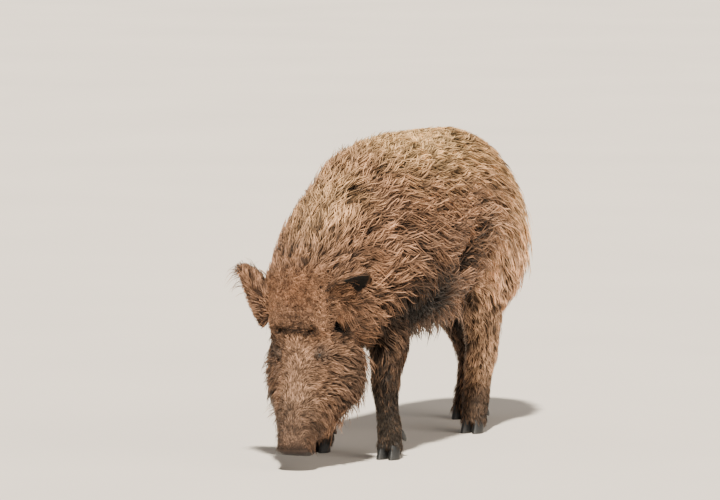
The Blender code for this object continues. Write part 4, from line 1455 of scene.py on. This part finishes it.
class BoarCoat(bpy.types.PropertyGroup):
    overlap: share_of("Overlap", "How many locks lie over each point of the skin", 4.8)
    width: share_of("Width", "Width of the locks against their usual width", 1.0)
    swirl: share_of("Swirl", "How far neighbouring clumps turn from the lie, in radians", 0.36)
    wave: share_of("Wave", "Sideways wave of a lock, as a share of its length", 0.085)
    clumps: share_of("Clumps", "Clumps to the square metre", 4200.0)
    pull: share_of("Pull", "How far the locks of a clump draw together at their tips", 0.75)
    root_shade: share_of("Root shade", "Brightness at the root of a lock", 0.05)
    skin_shade: share_of("Skin shade", "Brightness of the skin under the coat", 0.09)
    tan: colour_of("Tan", "Main colour of the coat", (0.385, 0.205, 0.116))
    # Partly the coat's colour, partly painted sunlight on the back, crest and rump.
    sunlit_golden: colour_of("Golden", "Back and crest", (1.0, 0.65, 0.31))
    # Painted sunlight on the thighs, the upper hind legs and the rump.
    sunlit_sandy: colour_of("Sandy", "Thighs and upper hind legs", (1.0, 0.62, 0.38))
    # Real muddy patches on the flank; on the cheeks and the forehead's lower edge partly painted shade.
    umber: colour_of("Umber", "Muddy patches of the flank and the face", (0.19, 0.115, 0.075))
    # The belly's dark hair, and painted shade in the armpits, groin, folds, lower flank, inner legs, throat,
    # ear hollows and below the brow.
    dark: colour_of("Dark", "Belly, armpits, groin and folds", (0.020, 0.013, 0.009))
    russet: colour_of("Russet", "Forehead", (0.27, 0.122, 0.060))
    # Partly the bridge's paler hair, partly painted light on it.
    pale: colour_of("Pale", "Bridge of the nose", (0.58, 0.37, 0.24))
    snout: colour_of("Snout", "Bare skin of the snout's disc", (0.013, 0.010, 0.010))
    grey: colour_of("Grey", "Round the eyes", (0.20, 0.15, 0.12))
    olive: colour_of("Olive", "Lower legs", (0.062, 0.049, 0.037))


class BoarFinish(bpy.types.PropertyGroup):
    iris: colour_of("Iris", "Iris of the eye", (0.022, 0.010, 0.005))
    eye_white: colour_of("Eye white", "Dull white at the corners of the eye", (0.06, 0.035, 0.025))
    horn: colour_of("Horn", "Horn of the claws", (0.010, 0.011, 0.012))
    worn_horn: colour_of("Worn horn", "Scuffed horn near the sole", (0.040, 0.040, 0.039))


class BoarStudio(bpy.types.PropertyGroup):
    floor_size: length_of("Floor", "Side of the square floor", 160.0)
    floor_colour: colour_of("Floor colour", "Colour of the plain floor", (0.72, 0.66, 0.59))
    sky_colour: colour_of("Sky colour", "Colour of the soft light all round", (1.0, 0.97, 0.93))
    sky_strength: share_of("Sky strength", "Strength of the soft light all round", 0.34)
    key_strength: share_of("Key strength", "Strength of the main light", 9.8)
    key_colour: colour_of("Key colour", "Colour of the main light", (1.0, 0.93, 0.82))
    key_softness: angle_of("Key softness", "How wide the main light looks from the boar", 3.5)
    key_azimuth: angle_of("Key azimuth", "Where the main light stands round the boar", 17.0)
    key_elevation: angle_of("Key elevation", "How high the main light stands", 51.0)
    fill_strength: share_of("Fill strength", "Strength of the weak light from the side", 1.9)
    fill_colour: colour_of("Fill colour", "Colour of the weak light", (1.0, 0.90, 0.78))
    fill_softness: angle_of("Fill softness", "How wide the weak light looks from the boar", 60.0)
    fill_azimuth: angle_of("Fill azimuth", "Where the weak light stands round the boar", 75.0)
    fill_elevation: angle_of("Fill elevation", "How high the weak light stands", 19.29)
    camera_azimuth: angle_of("Camera azimuth", "Where the camera stands round the boar", 22.0)
    camera_distance: length_of("Camera distance", "From the left fore foot to the camera", 17.0)
    camera_height: length_of("Camera height", "Height of the lens over the floor", 1.977)
    camera_side: length_of("Camera side", "How far the camera stands left of the left fore foot", 0.0773)
    camera_tilt: angle_of("Camera tilt", "How far the camera looks down", 4.8265)
    camera_lens: bpy.props.FloatProperty(
        name="Lens", description="Focal length in millimetres", default=329.8, subtype="DISTANCE_CAMERA"
    )
    camera_aim: bpy.props.FloatVectorProperty(
        name="Camera aim",
        description="From the back of the left fore claws to the point that the camera's distance is to",
        default=(-0.0061, -0.0089, 0.0),
        subtype="TRANSLATION",
    )


class BOAR_PT_panel(bpy.types.Panel):
    """Shows the boar's settings and the buttons of its steps in the sidebar"""

    bl_label = "Wild boar"
    bl_idname = "BOAR_PT_panel"
    bl_space_type = "VIEW_3D"
    bl_region_type = "UI"
    bl_category = "Boar"

    def draw(self, context):
        for key in SETTINGS:
            group = getattr(context.scene, key)
            for name in group.__annotations__:
                self.layout.prop(group, name)
        for operator in OPERATORS:
            self.layout.operator(operator.bl_idname)


OPERATORS = (BOAR_OT_stage, BOAR_OT_skin, BOAR_OT_eyes, BOAR_OT_claws, BOAR_OT_coat)
SETTINGS = {
    "boar_skin": BoarSkin,
    "boar_coat": BoarCoat,
    "boar_finish": BoarFinish,
    "boar_studio": BoarStudio,
}
CLASSES = (*SETTINGS.values(), *OPERATORS, BOAR_PT_panel)


def register():
    for kind in CLASSES:
        bpy.utils.register_class(kind)
    for name, kind in SETTINGS.items():
        setattr(bpy.types.Scene, name, bpy.props.PointerProperty(type=kind))


def unregister():
    for name in SETTINGS:
        delattr(bpy.types.Scene, name)
    for kind in reversed(CLASSES):
        bpy.utils.unregister_class(kind)


def main():
    register()
    bpy.ops.boar.stage()
    bpy.ops.boar.skin()
    bpy.ops.boar.eyes()
    bpy.ops.boar.claws()
    bpy.ops.boar.coat()


if __name__ == "__main__":
    main()
